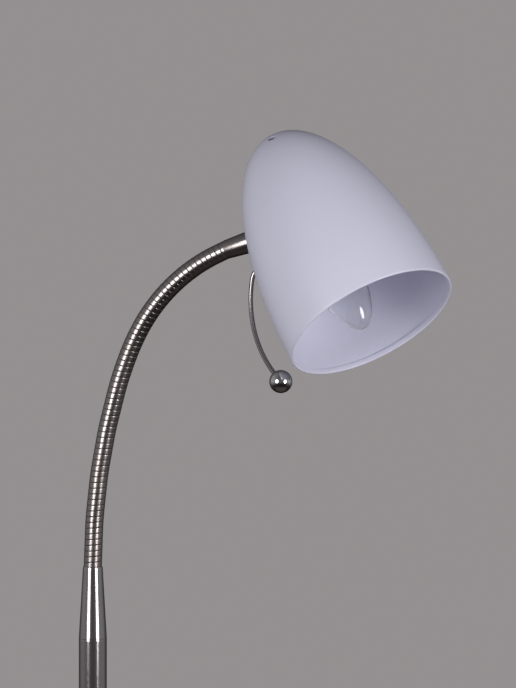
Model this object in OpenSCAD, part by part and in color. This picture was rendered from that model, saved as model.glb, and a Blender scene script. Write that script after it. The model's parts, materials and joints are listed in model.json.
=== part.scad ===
// Floor lamp: a bullet-shaped shade on a flexible ribbed neck, on a slim pole with a round weighted base.
// Millimetres. +Z is up, the origin lies on the floor under the pole, and the neck bends towards +X.

/* [Shade] */
// Outside diameter of the shade at its mouth
shade_d = 120; // [108:1:136]
// Height of the shade from mouth to crown
shade_h = 159; // [150:1:180]
// Thickness of the shade's sheet
shade_wall = 0.9; // [0.6:0.1:1.4]
// Power on the height: a larger one gives fuller flanks
shade_flank = 2.24; // [2:0.02:2.5]
// Power on the radius: a larger one gives a blunter crown
shade_blunt = 2.05; // [1.9:0.05:2.3]
// Height of the rolled hem inside the mouth
hem_h = 3.8; // [2.6:0.1:6]
// Thickness of the rolled hem
hem_t = 1.9; // [1.6:0.1:3]
// Height of the neck's hole above the mouth
neck_hole_z = 102.5; // [94:0.5:106]
// Distance of the vents from the shade's axis
vent_ring_r = 24.5; // [20:0.5:28]
// Diameter of each vent
vent_d = 6; // [4:0.5:9]
// Number of vents round the crown
vent_count = 4; // [3:1:6]
// Turn of the first vent from the front of the shade
vent_turn = 12; // [0:1:45]

/* [Neck] */
// Length of the flexible neck between ferrule and sleeve
neck_len = 262; // [245:1:285]
// Outside diameter of the neck over its ribs
neck_d = 12.7; // [12.2:0.1:13.2]
// Diameter of the passage for the leads
neck_bore = 6; // [5:0.1:6.4]
// Depth of the groove between two ribs
groove_depth = 0.45; // [0.2:0.05:0.6]
// Share of each turn that the rib takes
rib_share = 0.66; // [0.6:0.02:0.7]
// Wall between the groove and the socket of a link
socket_wall = 1.2; // [1:0.05:1.4]
// Bend per link near the ferrule, in degrees
foot_bend = 2.2; // [1:0.1:3]
// Bend per link near the sleeve, in degrees
top_bend = 7.4; // [5:0.1:8.5]
// Turn of the head about the neck's end, in degrees
head_turn = -13.8; // [-25:0.1:25]
// Length of the conical sleeve from the neck to the shade
sleeve_len = 20; // [18:0.5:28]
// Diameter of the sleeve where it meets the neck
sleeve_small_d = 13.3; // [13.2:0.1:14]
// Diameter of the sleeve at the shade
sleeve_large_d = 15.6; // [14.5:0.1:17]
// Diameter of the thread that passes through the shade
thread_d = 10; // [9:0.5:11]

/* [Ferrule] */
// Height of the ferrule's top above the floor
ferrule_top_z = 1050; // [900:5:1200]
// Length of the ferrule from its top to the pole
ferrule_len = 52; // [40:1:70]
// Diameter at the ferrule's top edge
ferrule_lip_d = 13.4; // [13.2:0.1:14]
// Diameter under the ferrule's rounded shoulder
ferrule_shoulder_d = 14.5; // [14.2:0.1:16]
// Height of the ferrule's rounded shoulder
ferrule_shoulder_h = 3.6; // [2:0.1:6]

/* [Handle] */
// Diameter of the handle's wire
wire_d = 3.2; // [2.5:0.1:4]
// Height of the handle's hole above the mouth
handle_hole_z = 87.5; // [80:0.5:89]
// Turn of the handle's plane from the neck, in degrees
handle_turn = -12.5; // [-20:0.5:20]
// Radius of the handle's long bow
bow_r = 80; // [74:1:92]
// Distance of the bow's farthest point outside the mouth
bow_gap = 25; // [21:0.5:28]
// Radius of the bend at the shade
bend_r = 11; // [8:0.5:13]
// Height above the mouth where the bow ends in the ball
bow_end_z = 17; // [10:0.2:24]
// Diameter of the ball
ball_d = 16; // [13:0.5:20]

/* [Bulb and holder] */
// Distance of the bulb's axis from the shade's axis, towards the neck
bulb_offset = 6; // [2:0.5:8]
// Height of the bulb's tip above the mouth
bulb_tip_z = 0; // [-2:0.5:4]
// Largest diameter of the glass
bulb_d = 35; // [30:1:37]
// Length of the glass
glass_len = 78; // [72:1:82]
// Wall of the glass
glass_wall = 0.7; // [0.5:0.1:1]
// Outside diameter of the bulb's screw cap
cap_d = 13.9; // [13:0.1:14.5]
// Outside diameter of the lampholder
holder_d = 26; // [24:0.5:29]
// Width of the strip that carries the lampholder
bracket_w = 14; // [13:0.5:16]
// Thickness of that strip
bracket_t = 1.5; // [1:0.1:2]

/* [Pole] */
// Outside diameter of the pole
pole_d = 20; // [18:0.5:24]
// Wall of the pole's tube
pole_wall = 1.2; // [1:0.1:2]
// Length of each plug inside a tube joint
joiner_len = 50; // [30:1:80]

/* [Base] */
// Diameter of the base
base_d = 230; // [200:1:280]
// Height of the base at its centre
base_h = 24; // [23:0.5:30]
// Height of the base where its rim rounds over
base_shoulder_z = 18; // [17:0.5:22]
// Radius of the rounded rim
base_round = 5; // [3:0.5:6]
// Thickness of the base's sheet
cover_t = 1.2; // [0.8:0.1:2]
// Thickness of the soft pad under the base
pad_t = 3; // [2:0.5:4]
// Thickness of the cast weight
weight_t = 12; // [11:0.5:13]
// Diameter of the passage for the lead in the rim's bush
inlet_d = 6.5; // [5:0.1:7]

/* [Hidden] */
$fn = 96;
link_count = 16;
ribs_per_link = 4;
sway_last = 7;
ramp_first = 8;
ramp_last = 11;
seat_gap = 0.05;
fit_gap = 0.15;
cut_over = 1;

// Shade: the radius at a height is R(1-(z/H)^p)^(1/q), and its lean is the wall's angle from the axis.
shade_r = shade_d/2;
profile_steps = 36;
function wall_r(z, r, h) = r*pow(max(0, 1 - pow(z/h, shade_flank)), 1/shade_blunt);
function outer_r(z) = wall_r(z, shade_r, shade_h);
function inner_r(z) = wall_r(z, shade_r - shade_wall, shade_h - shade_wall);
function height_at(r) = shade_h*pow(1 - pow(r/shade_r, shade_blunt), 1/shade_flank);
function fall_at(z) = pow(z/shade_h, shade_flank - 1)*pow(1 - pow(z/shade_h, shade_flank), 1/shade_blunt - 1);
function lean_at(z) = atan(shade_r/shade_h*shade_flank/shade_blunt*fall_at(z));
neck_lean = lean_at(neck_hole_z);
neck_hole_r = outer_r(neck_hole_z);

// Neck: links bend at hinge points that lie on the centreline, one link apart.
link_len = neck_len/link_count;
rib_pitch = link_len/ribs_per_link;
rib_w = rib_pitch*rib_share;
half_gap = (rib_pitch - rib_w)/2;
rib_steps = 8;
groove_r = neck_d/2 - groove_depth;
socket_r = groove_r - socket_wall;
ball_r = socket_r - fit_gap;
function smooth(t) = let(c = max(0, min(1, t))) c*c*(3 - 2*c);
function is_sway(k) = k <= sway_last && k%2 == 1;
function bend_rate(k) = foot_bend + (top_bend - foot_bend)*smooth((k - ramp_first)/(ramp_last - ramp_first));
function links_served(k) = k > 0 && k <= sway_last + 1 ? 2 : 1;
function hinge_bend(k) = is_sway(k) ? 0 : bend_rate(k)*links_served(k);
function link_angle(k) = k == 0 ? 0 : link_angle(k - 1) + hinge_bend(k - 1);
function along(a) = [sin(a), 0, cos(a)];
function hinge_at(k) = k == 0 ? [0, 0, ferrule_top_z] : hinge_at(k - 1) + link_len*along(link_angle(k));
function link_name(k) = str("neck_link_", k < 10 ? "0" : "", k);

// Fastening at the shade's wall, measured along the sleeve from the neck's last hinge.
washer_d = thread_d + 6;
washer_t = 1;
nut_h = 4;
nut_across = thread_d + 4;
thread_spare = 1.5;
wall_curve = neck_hole_r/cos(neck_lean) - shade_wall;
washer_sag = wall_curve - sqrt(pow(wall_curve, 2) - pow(washer_d/2, 2));
washer_z = sleeve_len + shade_wall + washer_sag + fit_gap;
bracket_z = washer_z + washer_t + seat_gap;
nut_z = bracket_z + bracket_t + seat_gap;
thread_end_z = nut_z + nut_h + thread_spare;

// Bulb and lampholder, measured along the shade's axis from its mouth.
cap_wall = 0.35;
cap_overlap = 4;
cap_len = 19;
insulator_h = 2.5;
contact_h = 1.2;
contact_d = 5.2;
glass_neck_d = cap_d - 2*cap_wall - 2*fit_gap;
glass_belly = bulb_d + 5;
glass_tip_power = 1.57;
glass_steps = 20;
glass_spread = 1.3;
stem_flare_h = 5;
stem_d = 5;
stem_len = 26;
filament_span = 9;
filament_d = 0.8;
filament_rise = 12;
glass_top_z = bulb_tip_z + glass_len;
cap_z = glass_top_z - cap_overlap;
insulator_z = cap_z + cap_len + seat_gap;
contact_z = insulator_z + insulator_h + seat_gap;
spring_t = 0.4;
spring_z = contact_z + contact_h + fit_gap;
shell_wall = 0.5;
shell_gap = 0.25;
shell_r = cap_d/2 + shell_gap;
holder_bore_r = shell_r + shell_wall + shell_gap;
floor_z = spring_z + spring_t + seat_gap;
floor_t = 4.5;
holder_skirt = 4;
holder_top_z = floor_z + floor_t;
holder_cap_z = holder_top_z + seat_gap;
holder_cap_h = 14;
holder_cap_top_d = thread_d + 7;
holder_wall = 2;
bracket_seat_z = holder_cap_z + holder_cap_h + seat_gap;
bracket_bend_r = 2;
bracket_tail = 9;
bracket_nose = 11;
nipple_in = 6;
nipple_bore = thread_d - 3;
terminal_screw_d = 3;
terminal_head_d = 5;
terminal_head_h = 2;
terminal_r = holder_d/2 - holder_wall - terminal_head_d/2 - 2*fit_gap;

// Leads in the head: out of the thread, past the side of the bracket, over it and down the holder's nipple.
lead_d = 2.2;
lead_sides = 8;
lead_across = [0.31, 0.92, 0.24];
lead_apart = lead_d/2 + 0.2;
lead_in = 3;
lead_reach = 12;
lead_loop = 26;
lead_turn = 9;
lead_steps = 8;
into_shade = [cos(neck_lean), 0, -sin(neck_lean)];
thread_end = [-neck_hole_r, 0, neck_hole_z] + (thread_end_z - sleeve_len)*into_shade;
lead_from = thread_end - lead_in*into_shade + [0, lead_apart, 0];
lead_side = [
    (thread_end.x - bulb_offset - holder_d/2)/2,
    bracket_w/2 + 2*lead_d,
    (thread_end.z + bracket_seat_z)/2
];
lead_to = [-bulb_offset, lead_apart, bracket_seat_z + lead_in];
lead_route = concat(
    bezier(lead_from, lead_from + lead_reach*into_shade, lead_side - [0, 0, lead_turn], lead_side),
    after_first(bezier(lead_side, lead_side + [0, 0, lead_loop], lead_to + [0, 0, lead_loop], lead_to))
);

// Handle: a straight stub square to the wall, a bend, a long bow and a straight end in the ball.
handle_side = 180 + handle_turn;
handle_lean = lean_at(handle_hole_z);
handle_nut_d = wire_d + 3.4;
handle_nut_h = 2.4;
stub_spare = 0.6;
handle_nut_sag = pow(handle_nut_d/cos(30)/2, 2)/(2*outer_r(handle_hole_z));
stub_in = shade_wall + handle_nut_sag + fit_gap + handle_nut_h + stub_spare;
stub_out = handle_nut_h + stub_spare;
bore_depth = ball_d/2 + stub_spare;
bow_steps = 20;
stub_end = [outer_r(handle_hole_z), handle_hole_z] + stub_out*[cos(handle_lean), sin(handle_lean)];
bend_at = stub_end + bend_r*[sin(handle_lean), -cos(handle_lean)];
bow_x = shade_r + bow_gap - bow_r;
bow_z = bend_at.y - sqrt(pow(bow_r - bend_r, 2) - pow(bend_at.x - bow_x, 2));
bow_top_angle = atan2(bend_at.y - bow_z, bend_at.x - bow_x);
bow_end_angle = asin((bow_end_z - bow_z)/bow_r);
bow_end = [bow_x, bow_z] + bow_r*[cos(bow_end_angle), sin(bow_end_angle)];
bow_end_way = [sin(bow_end_angle), -cos(bow_end_angle)];
ball_at = bow_end + ball_d/2*bow_end_way;
wire_sides = 16;
wire_path = concat(
    [stub_end - (stub_in + stub_out)*[cos(handle_lean), sin(handle_lean)]],
    arc(bend_at, bend_r, 90 + handle_lean, bow_top_angle, rib_steps),
    after_first(arc([bow_x, bow_z], bow_r, bow_top_angle, bow_end_angle, bow_steps)),
    [bow_end + (bore_depth - seat_gap)*bow_end_way]
);

// Pole and base.
pole_r = pole_d/2;
pole_bore_r = pole_r - pole_wall;
plug_r = pole_bore_r - seat_gap;
plug_bore = 8;
pole_foot_z = base_h + seat_gap;
pole_top_z = ferrule_top_z - ferrule_len;
tube_len = (pole_top_z - pole_foot_z)/3;
spigot_len = 20;
insert_len = 25;
rod_d = 10;
rod_bore = 7;
rod_gap = 0.15;
rod_over = 1.5;
base_r = base_d/2;
rim_z = 1.2;
dome_steps = 10;
round_steps = 6;
base_nut_d = rod_d + 9;
base_nut_h = 5;
base_washer_d = rod_d + 20;
base_washer_t = 2;
recess_d = base_washer_d + 4;
recess_top_z = pad_t + base_nut_h + base_washer_t + rod_over;
boss_d = recess_d + 20;
weight_r = base_r - cover_t - 0.5;
pad_r = weight_r - 1;
weight_chamfer = base_round;
inlet_z = 8.2;
bush_d = inlet_d + 2;
bush_flange_d = bush_d + 3;
bush_flange_t = 1.6;
bush_len = 5;
bush_edge = 0.6;
channel_w = bush_flange_d + 1;
channel_top_z = inlet_z + bush_flange_d/2 + 0.5;
collar_d = pole_d + 18;
collar_h = 14;
collar_lip = 2.2;

nickel = [0.66, 0.64, 0.61];
chrome = [0.78, 0.79, 0.8];
zinc = [0.6, 0.62, 0.63];
brass = [0.78, 0.62, 0.32];
lacquer = [0.92, 0.92, 0.94];
moulding = [0.9, 0.89, 0.86];
iron = [0.22, 0.22, 0.23];
dark_rubber = [0.08, 0.08, 0.08];
clear = [0.86, 0.92, 0.95, 0.35];

// Frames that the pieces are drawn in.

// Frame of the link that starts at hinge k, with +Z along it
module at_hinge(k) {
    translate(hinge_at(k)) rotate([0, link_angle(k + 1), 0]) children();
}

// Frame of the sleeve, with +Z into the shade
module in_sleeve() {
    at_hinge(link_count) rotate([0, 0, head_turn]) children();
}

// Frame of the shade: origin at the middle of its mouth, +Z to the crown, the neck on its -X side
module in_shade() {
    in_sleeve()
        translate([0, 0, sleeve_len])
            rotate([0, -90 - neck_lean, 0])
                translate([neck_hole_r, 0, -neck_hole_z])
                    children();
}

// Frame on the shade's wall at a height and a turn, with +Z square out of the wall
module on_wall(z, turn) {
    rotate([0, 0, turn])
        translate([outer_r(z), 0, z])
            rotate([0, 90 - lean_at(z), 0])
                children();
}

// Frame of the bulb and its holder
module on_bulb_axis() {
    in_shade() translate([-bulb_offset, 0, 0]) children();
}

// Shapes that several pieces share.

module ring(outer_d, inner_d, h) {
    difference() {
        cylinder(d = outer_d, h = h);
        translate([0, 0, -cut_over]) cylinder(d = inner_d, h = h + 2*cut_over);
    }
}

module hex_nut(across, bore, h) {
    difference() {
        cylinder(d = across/cos(30), h = h, $fn = 6);
        translate([0, 0, -cut_over]) cylinder(d = bore, h = h + 2*cut_over);
    }
}

module tube(outer_r, inner_r, z0, z1) {
    translate([0, 0, z0]) ring(2*outer_r, 2*inner_r, z1 - z0);
}

// Arc of points about a centre, from one angle to another
function arc(c, r, a0, a1, n) = [for (i = [0:n]) c + r*[cos(a0 + (a1 - a0)*i/n), sin(a0 + (a1 - a0)*i/n)]];

// Curve from a to d that leaves towards b and arrives from c
function bezier(a, b, c, d) = [for (i = [0:lead_steps]) let(t = i/lead_steps, u = 1 - t)
    u*u*u*a + 3*u*u*t*b + 3*u*t*t*c + t*t*t*d];

function after_first(list) = [for (i = [1:len(list) - 1]) list[i]];

// Round tube along a list of points, as one closed skin; across is a direction that the path never takes
function unit(v) = v/norm(v);
function heading(p, i) = unit(p[min(i + 1, len(p) - 1)] - p[max(i - 1, 0)]);
function ring_point(p, i, r, j, n, across) =
    let(s = unit(cross(heading(p, i), across)), u = cross(heading(p, i), s), a = 360*j/n)
    p[i] + r*(cos(a)*s + sin(a)*u);
module swept_tube(p, d, n, across) {
    last = len(p) - 1;
    skin = [for (i = [0:last], j = [0:n - 1]) ring_point(p, i, d/2, j, n, across)];
    walls = [for (i = [0:last - 1], j = [0:n - 1], h = [0, 1])
        let(a = i*n + j, b = i*n + (j + 1)%n)
        h == 0 ? [a, b, b + n] : [a, b + n, a + n]];
    first_cap = [for (j = [1:n - 2]) [0, j + 1, j]];
    last_cap = [for (j = [1:n - 2]) [last*n, last*n + j, last*n + j + 1]];
    polyhedron(skin, concat(walls, first_cap, last_cap));
}

// Base

function dome_z(r) = base_h - (base_h - base_shoulder_z)*pow(r/(base_r - base_round), 2);
function dome_outline(drop, inset) = concat(
    [for (i = [0:dome_steps]) let(r = (base_r - base_round)*i/dome_steps) [r, dome_z(r) - drop]],
    arc([base_r - base_round, base_shoulder_z - base_round], base_round - inset, 90, 0, round_steps)
);

module base_pad() {
    color(dark_rubber) cylinder(r = pad_r, h = pad_t);
}

// Cast weight: a disc with a chamfered edge, a boss under the pole, a nut recess and a channel for the lead
module base_weight() {
    foot_z = pad_t + seat_gap;
    top_z = pad_t + weight_t;
    boss_top_z = dome_z(boss_d/2) - cover_t - seat_gap;
    color(iron) difference() {
        rotate_extrude() polygon([
            [0, foot_z], [weight_r, foot_z], [weight_r, top_z - weight_chamfer],
            [weight_r - weight_chamfer, top_z], [boss_d/2, top_z], [boss_d/2, boss_top_z], [0, boss_top_z]
        ]);
        translate([0, 0, -cut_over]) cylinder(d = recess_d, h = recess_top_z + cut_over);
        cylinder(d = rod_d + 2*rod_gap, h = base_h);
        translate([-base_d, -channel_w/2, -cut_over]) cube([base_d, channel_w, channel_top_z + cut_over]);
    }
}

module base_cover() {
    color(nickel) difference() {
        rotate_extrude() polygon(concat(
            dome_outline(0, 0),
            [[base_r, rim_z], [base_r - cover_t, rim_z]],
            [for (i = [0:dome_steps + round_steps + 1])
                dome_outline(cover_t, cover_t)[dome_steps + round_steps + 1 - i]]
        ));
        cylinder(d = rod_d + 2*rod_gap, h = base_h + cut_over);
        translate([-base_r, 0, inlet_z]) rotate([0, 90, 0])
            cylinder(d = bush_d + 2*seat_gap, h = 4*bush_len, center = true);
    }
}

module base_washer() {
    color(zinc) translate([0, 0, recess_top_z - base_washer_t - seat_gap])
        ring(base_washer_d, rod_d + 2*rod_gap, base_washer_t);
}

module base_nut() {
    color(zinc) translate([0, 0, recess_top_z - base_washer_t - base_nut_h - 2*seat_gap])
        hex_nut(base_nut_d, rod_d + 2*seat_gap, base_nut_h);
}

module base_nipple() {
    color(zinc) tube(rod_d/2, rod_bore/2, pad_t + rod_over/2, pole_foot_z + insert_len - rod_over);
}

module cord_grommet() {
    color(dark_rubber) translate([-base_r - bush_flange_t, 0, inlet_z]) rotate([0, 90, 0]) difference() {
        rotate_extrude() polygon([
            [0, 0], [bush_flange_d/2 - bush_edge, 0], [bush_flange_d/2, bush_edge],
            [bush_flange_d/2, bush_flange_t], [bush_d/2, bush_flange_t],
            [bush_d/2, bush_flange_t + bush_len], [0, bush_flange_t + bush_len]
        ]);
        translate([0, 0, -cut_over]) cylinder(d = inlet_d, h = bush_flange_t + bush_len + 2*cut_over);
    }
}

// Pole

module pole_collar() {
    inner = pole_r + fit_gap;
    swell = collar_d/2 - inner - collar_lip;
    color(nickel) translate([0, 0, base_h]) rotate_extrude() polygon(concat(
        [[inner, 0], [collar_d/2, 0], [collar_d/2, collar_lip]],
        [for (i = [1:round_steps]) let(a = 90*i/round_steps)
            [collar_d/2 - swell*sin(a), collar_h - (collar_h - collar_lip)*cos(a)]],
        [[inner, collar_h]]
    ));
}

module pole_insert() {
    color(zinc) tube(plug_r, rod_d/2 + seat_gap, pole_foot_z, pole_foot_z + insert_len);
}

module pole_tube(i) {
    color(nickel)
        tube(pole_r, pole_bore_r, pole_foot_z + i*tube_len + seat_gap, pole_foot_z + (i + 1)*tube_len);
}

module pole_lower() { pole_tube(0); }
module pole_middle() { pole_tube(1); }
module pole_upper() { pole_tube(2); }

module pole_joiners() {
    color(zinc) for (i = [1, 2]) {
        joint_z = pole_foot_z + i*tube_len;
        tube(plug_r, plug_bore/2, joint_z - joiner_len/2, joint_z + joiner_len/2);
    }
}

// Neck

// Ferrule: a spigot in the pole, a long taper, a rounded shoulder and the ball that the neck turns on
module neck_ferrule() {
    shoulder_z = -half_gap - ferrule_shoulder_h;
    bulge = (ferrule_shoulder_d - ferrule_lip_d)/2;
    color(nickel) translate([0, 0, ferrule_top_z]) difference() {
        union() {
            rotate_extrude() polygon(concat(
                [[0, -ferrule_len - spigot_len], [plug_r, -ferrule_len - spigot_len], [plug_r, -ferrule_len]],
                [[pole_r, -ferrule_len + seat_gap]],
                [for (i = [0:round_steps]) let(a = 90*i/round_steps)
                    [ferrule_lip_d/2 + bulge*cos(a), shoulder_z + ferrule_shoulder_h*sin(a)]],
                [[0, -half_gap]]
            ));
            sphere(r = ball_r);
        }
        translate([0, 0, -ferrule_len - spigot_len - cut_over])
            cylinder(d = neck_bore, h = ferrule_len + spigot_len + ball_r + 2*cut_over);
    }
}

// Half-round ribs up one link, as points of its outline
function rib_points() = [for (i = [0:ribs_per_link - 1], j = [0:rib_steps])
    let(a = 180*j/rib_steps, z = half_gap + i*rib_pitch + rib_w*(1 - cos(a))/2)
    [groove_r + groove_depth*sin(a), z]];

// One short length of the neck: ribbed outside, with a socket below, a ball above and a passage through it
module neck_link(k) {
    color(nickel) at_hinge(k - 1) difference() {
        union() {
            rotate_extrude() polygon(concat([[0, half_gap]], rib_points(), [[0, link_len - half_gap]]));
            translate([0, 0, link_len]) sphere(r = ball_r);
        }
        sphere(r = socket_r);
        translate([0, 0, -cut_over]) cylinder(d = neck_bore, h = link_len + ball_r + 2*cut_over);
    }
}

// Sleeve: a socket for the neck, a taper and a thread that passes through the shade
module neck_sleeve() {
    color(nickel) in_sleeve() difference() {
        rotate_extrude() polygon([
            [0, half_gap], [sleeve_small_d/2, half_gap], [sleeve_large_d/2, sleeve_len],
            [thread_d/2, sleeve_len], [thread_d/2, thread_end_z], [0, thread_end_z]
        ]);
        sphere(r = socket_r);
        translate([0, 0, -cut_over]) cylinder(d = neck_bore, h = thread_end_z + 2*cut_over);
    }
}

module neck_washer() {
    color(zinc) in_sleeve() translate([0, 0, washer_z]) ring(washer_d, thread_d + 2*fit_gap, washer_t);
}

module neck_nut() {
    color(zinc) in_sleeve() translate([0, 0, nut_z]) hex_nut(nut_across, thread_d + 2*seat_gap, nut_h);
}

// Shade

module shade() {
    roll_r = hem_t/2;
    outer = [for (i = [0:profile_steps]) let(z = roll_r + (shade_h - roll_r)*sin(90*i/profile_steps))
        [outer_r(z), z]];
    inner = [for (i = [0:profile_steps])
        let(z = hem_h + (shade_h - shade_wall - hem_h)*sin(90 - 90*i/profile_steps))
        [inner_r(z), z]];
    hem = arc([shade_r - roll_r, roll_r], roll_r, 180, 360, rib_steps);
    color(lacquer) in_shade() difference() {
        rotate_extrude() polygon(concat(outer, inner, [[shade_r - hem_t, hem_h]], hem));
        on_wall(neck_hole_z, 180) cylinder(d = thread_d + 2*fit_gap, h = washer_d, center = true);
        on_wall(handle_hole_z, handle_side) cylinder(d = wire_d + 2*fit_gap, h = washer_d, center = true);
        for (i = [0:vent_count - 1])
            on_wall(height_at(vent_ring_r), vent_turn + 360*i/vent_count)
                cylinder(d = vent_d, h = vent_d, center = true);
    }
}

// Lampholder and its bracket

// Bent strip: one leg square to the sleeve, the other square to the bulb's axis
module holder_bracket() {
    into = [cos(neck_lean), -sin(neck_lean)];
    up = [sin(neck_lean), cos(neck_lean)];
    face = [-neck_hole_r, neck_hole_z] + (bracket_z + bracket_t - sleeve_len)*into;
    rise = (bracket_seat_z - bracket_bend_r - face.y - bracket_bend_r*into.y)/up.y;
    bend = face + bracket_bend_r*into + rise*up;
    end_x = -bulb_offset + bracket_nose;
    outline = concat(
        [face - bracket_tail*up],
        arc(bend, bracket_bend_r, 180 - neck_lean, 90, round_steps),
        [[end_x, bracket_seat_z], [end_x, bracket_seat_z + bracket_t]],
        arc(bend, bracket_bend_r + bracket_t, 90, 180 - neck_lean, round_steps),
        [face - bracket_t*into - bracket_tail*up]
    );
    color(zinc) difference() {
        in_shade() rotate([90, 0, 0]) linear_extrude(bracket_w, center = true) polygon(outline);
        in_sleeve() translate([0, 0, bracket_z - cut_over])
            cylinder(d = thread_d + 2*fit_gap, h = bracket_t + 2*cut_over);
        on_bulb_axis() translate([0, 0, bracket_seat_z - cut_over])
            cylinder(d = thread_d + 2*fit_gap, h = bracket_t + 2*cut_over);
    }
}

module holder_nipple() {
    top_z = bracket_seat_z + bracket_t + nut_h + thread_spare;
    color(zinc) on_bulb_axis() tube(thread_d/2, nipple_bore/2, bracket_seat_z - nipple_in, top_z);
}

module holder_nut() {
    color(zinc) on_bulb_axis() translate([0, 0, bracket_seat_z + bracket_t + seat_gap])
        hex_nut(nut_across, thread_d + 2*seat_gap, nut_h);
}

module holder_cap() {
    rim_h = 3;
    top_r = holder_cap_top_d/2;
    swell = holder_d/2 - top_r;
    color(moulding) on_bulb_axis() translate([0, 0, holder_cap_z]) difference() {
        rotate_extrude() polygon(concat(
            [[holder_d/2 - holder_wall, 0], [holder_d/2, 0]],
            [for (i = [0:round_steps]) let(a = 90*i/round_steps)
                [top_r + swell*cos(a), rim_h + (holder_cap_h - rim_h)*sin(a)]],
            [[0, holder_cap_h], [0, holder_cap_h - holder_wall]],
            [for (i = [round_steps:-1:0]) let(a = 90*i/round_steps)
                [top_r - holder_wall + swell*cos(a), rim_h + (holder_cap_h - holder_wall - rim_h)*sin(a)]]
        ));
        translate([0, 0, rim_h]) cylinder(d = thread_d + 2*seat_gap, h = holder_cap_h);
    }
}

module holder_body() {
    color(moulding) on_bulb_axis() difference() {
        union() {
            tube(holder_d/2, holder_bore_r, cap_z - holder_skirt, holder_top_z);
            translate([0, 0, floor_z]) cylinder(r = holder_bore_r + cut_over, h = floor_t);
        }
        for (x = [-terminal_r, terminal_r]) translate([x, 0, floor_z - cut_over])
            cylinder(d = terminal_screw_d + 2*seat_gap, h = floor_t + 2*cut_over);
    }
}

module holder_shell() {
    color(brass) on_bulb_axis() tube(shell_r + shell_wall, shell_r, cap_z, cap_z + cap_len);
}

module holder_contact() {
    color(brass) on_bulb_axis() translate([0, 0, spring_z]) intersection() {
        cylinder(r = holder_bore_r - fit_gap, h = spring_t);
        translate([-holder_bore_r, -contact_d/2, 0]) cube([2*holder_bore_r, contact_d, spring_t]);
    }
}

module terminal_screws() {
    color(brass) on_bulb_axis() for (x = [-terminal_r, terminal_r]) translate([x, 0, holder_top_z]) {
        translate([0, 0, seat_gap]) cylinder(d = terminal_head_d, h = terminal_head_h);
        translate([0, 0, -floor_t]) cylinder(d = terminal_screw_d, h = floor_t + 2*seat_gap);
    }
}

module head_leads() {
    color(moulding) in_shade() for (side = [-1, 1])
        swept_tube([for (p = lead_route) [p.x, side*p.y, p.z]], lead_d, lead_sides, lead_across);
}

// Bulb

// Radius of the glass at a distance from its tip: a pointed candle, then a smooth fall to the neck
function glass_r(x, r, belly, neck) = x < belly
    ? r*sqrt(1 - pow((belly - x)/belly, glass_tip_power))
    : neck + (r - neck)*(1 + cos(180*min(1, (x - belly)/(glass_len - cap_overlap - belly))))/2;

function glass_points(wall) = [for (i = [0:glass_steps])
    let(x = glass_len*pow(i/glass_steps, glass_spread), f = (glass_len - wall)/glass_len)
    [glass_r(x, bulb_d/2 - wall, glass_belly, glass_neck_d/2 - wall), wall + x*f]];

module bulb_glass() {
    color(clear) on_bulb_axis() translate([0, 0, bulb_tip_z]) rotate_extrude()
        polygon(concat(glass_points(0), [for (i = [glass_steps:-1:0]) glass_points(glass_wall)[i]]));
}

module bulb_cap() {
    color(brass) on_bulb_axis() tube(cap_d/2, cap_d/2 - cap_wall, cap_z, cap_z + cap_len);
}

module bulb_insulator() {
    color(dark_rubber) on_bulb_axis() translate([0, 0, insulator_z])
        cylinder(d1 = cap_d - 2*cap_wall, d2 = contact_d, h = insulator_h);
}

module bulb_contact() {
    color(zinc) on_bulb_axis() translate([0, 0, contact_z]) cylinder(d = contact_d, h = contact_h);
}

module bulb_stem() {
    color(clear) on_bulb_axis() translate([0, 0, glass_top_z]) rotate_extrude() polygon([
        [0, 0], [glass_neck_d/2 - glass_wall - fit_gap, 0], [stem_d/2, -stem_flare_h],
        [stem_d/2, -stem_len + stem_d/2], [stem_d/4, -stem_len], [0, -stem_len]
    ]);
}

module bulb_filament() {
    top_z = glass_top_z - stem_len - filament_d/2 - seat_gap;
    color(zinc) on_bulb_axis() translate([0, 0, top_z]) rotate([90, 0, 0]) {
        for (x = [-1, 1]) translate([x*filament_span/2, -filament_rise, 0]) rotate([-90, 0, 0])
            cylinder(d = filament_d, h = filament_rise);
        translate([0, -filament_rise, 0]) rotate_extrude(angle = -180)
            translate([filament_span/2, 0]) circle(d = filament_d);
        translate([-filament_span/2, 0, 0]) rotate([0, 90, 0]) cylinder(d = filament_d, h = filament_span);
    }
}

// Handle

// Frame of the handle's plane: 2D x runs out from the shade's axis, 2D y up to the crown
module in_handle_plane() {
    in_shade() rotate([0, 0, handle_side]) rotate([90, 0, 0]) children();
}

module handle_wire() {
    color(chrome) in_handle_plane()
        swept_tube([for (p = wire_path) [p.x, p.y, 0]], wire_d, wire_sides, [0, 0, 1]);
}

module handle_ball() {
    color(chrome) in_handle_plane() difference() {
        translate([ball_at.x, ball_at.y, 0]) sphere(d = ball_d);
        translate([bow_end.x, bow_end.y, 0]) rotate([90, 0, 0]) rotate([0, bow_end_angle, 0])
            translate([0, 0, -cut_over]) cylinder(d = wire_d + 2*seat_gap, h = bore_depth + cut_over);
    }
}

module handle_nuts() {
    color(zinc) in_shade() on_wall(handle_hole_z, handle_side) {
        translate([0, 0, seat_gap]) hex_nut(handle_nut_d, wire_d + 2*seat_gap, handle_nut_h);
        translate([0, 0, -shade_wall - handle_nut_sag - fit_gap - handle_nut_h])
            hex_nut(handle_nut_d, wire_d + 2*seat_gap, handle_nut_h);
    }
}

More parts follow.
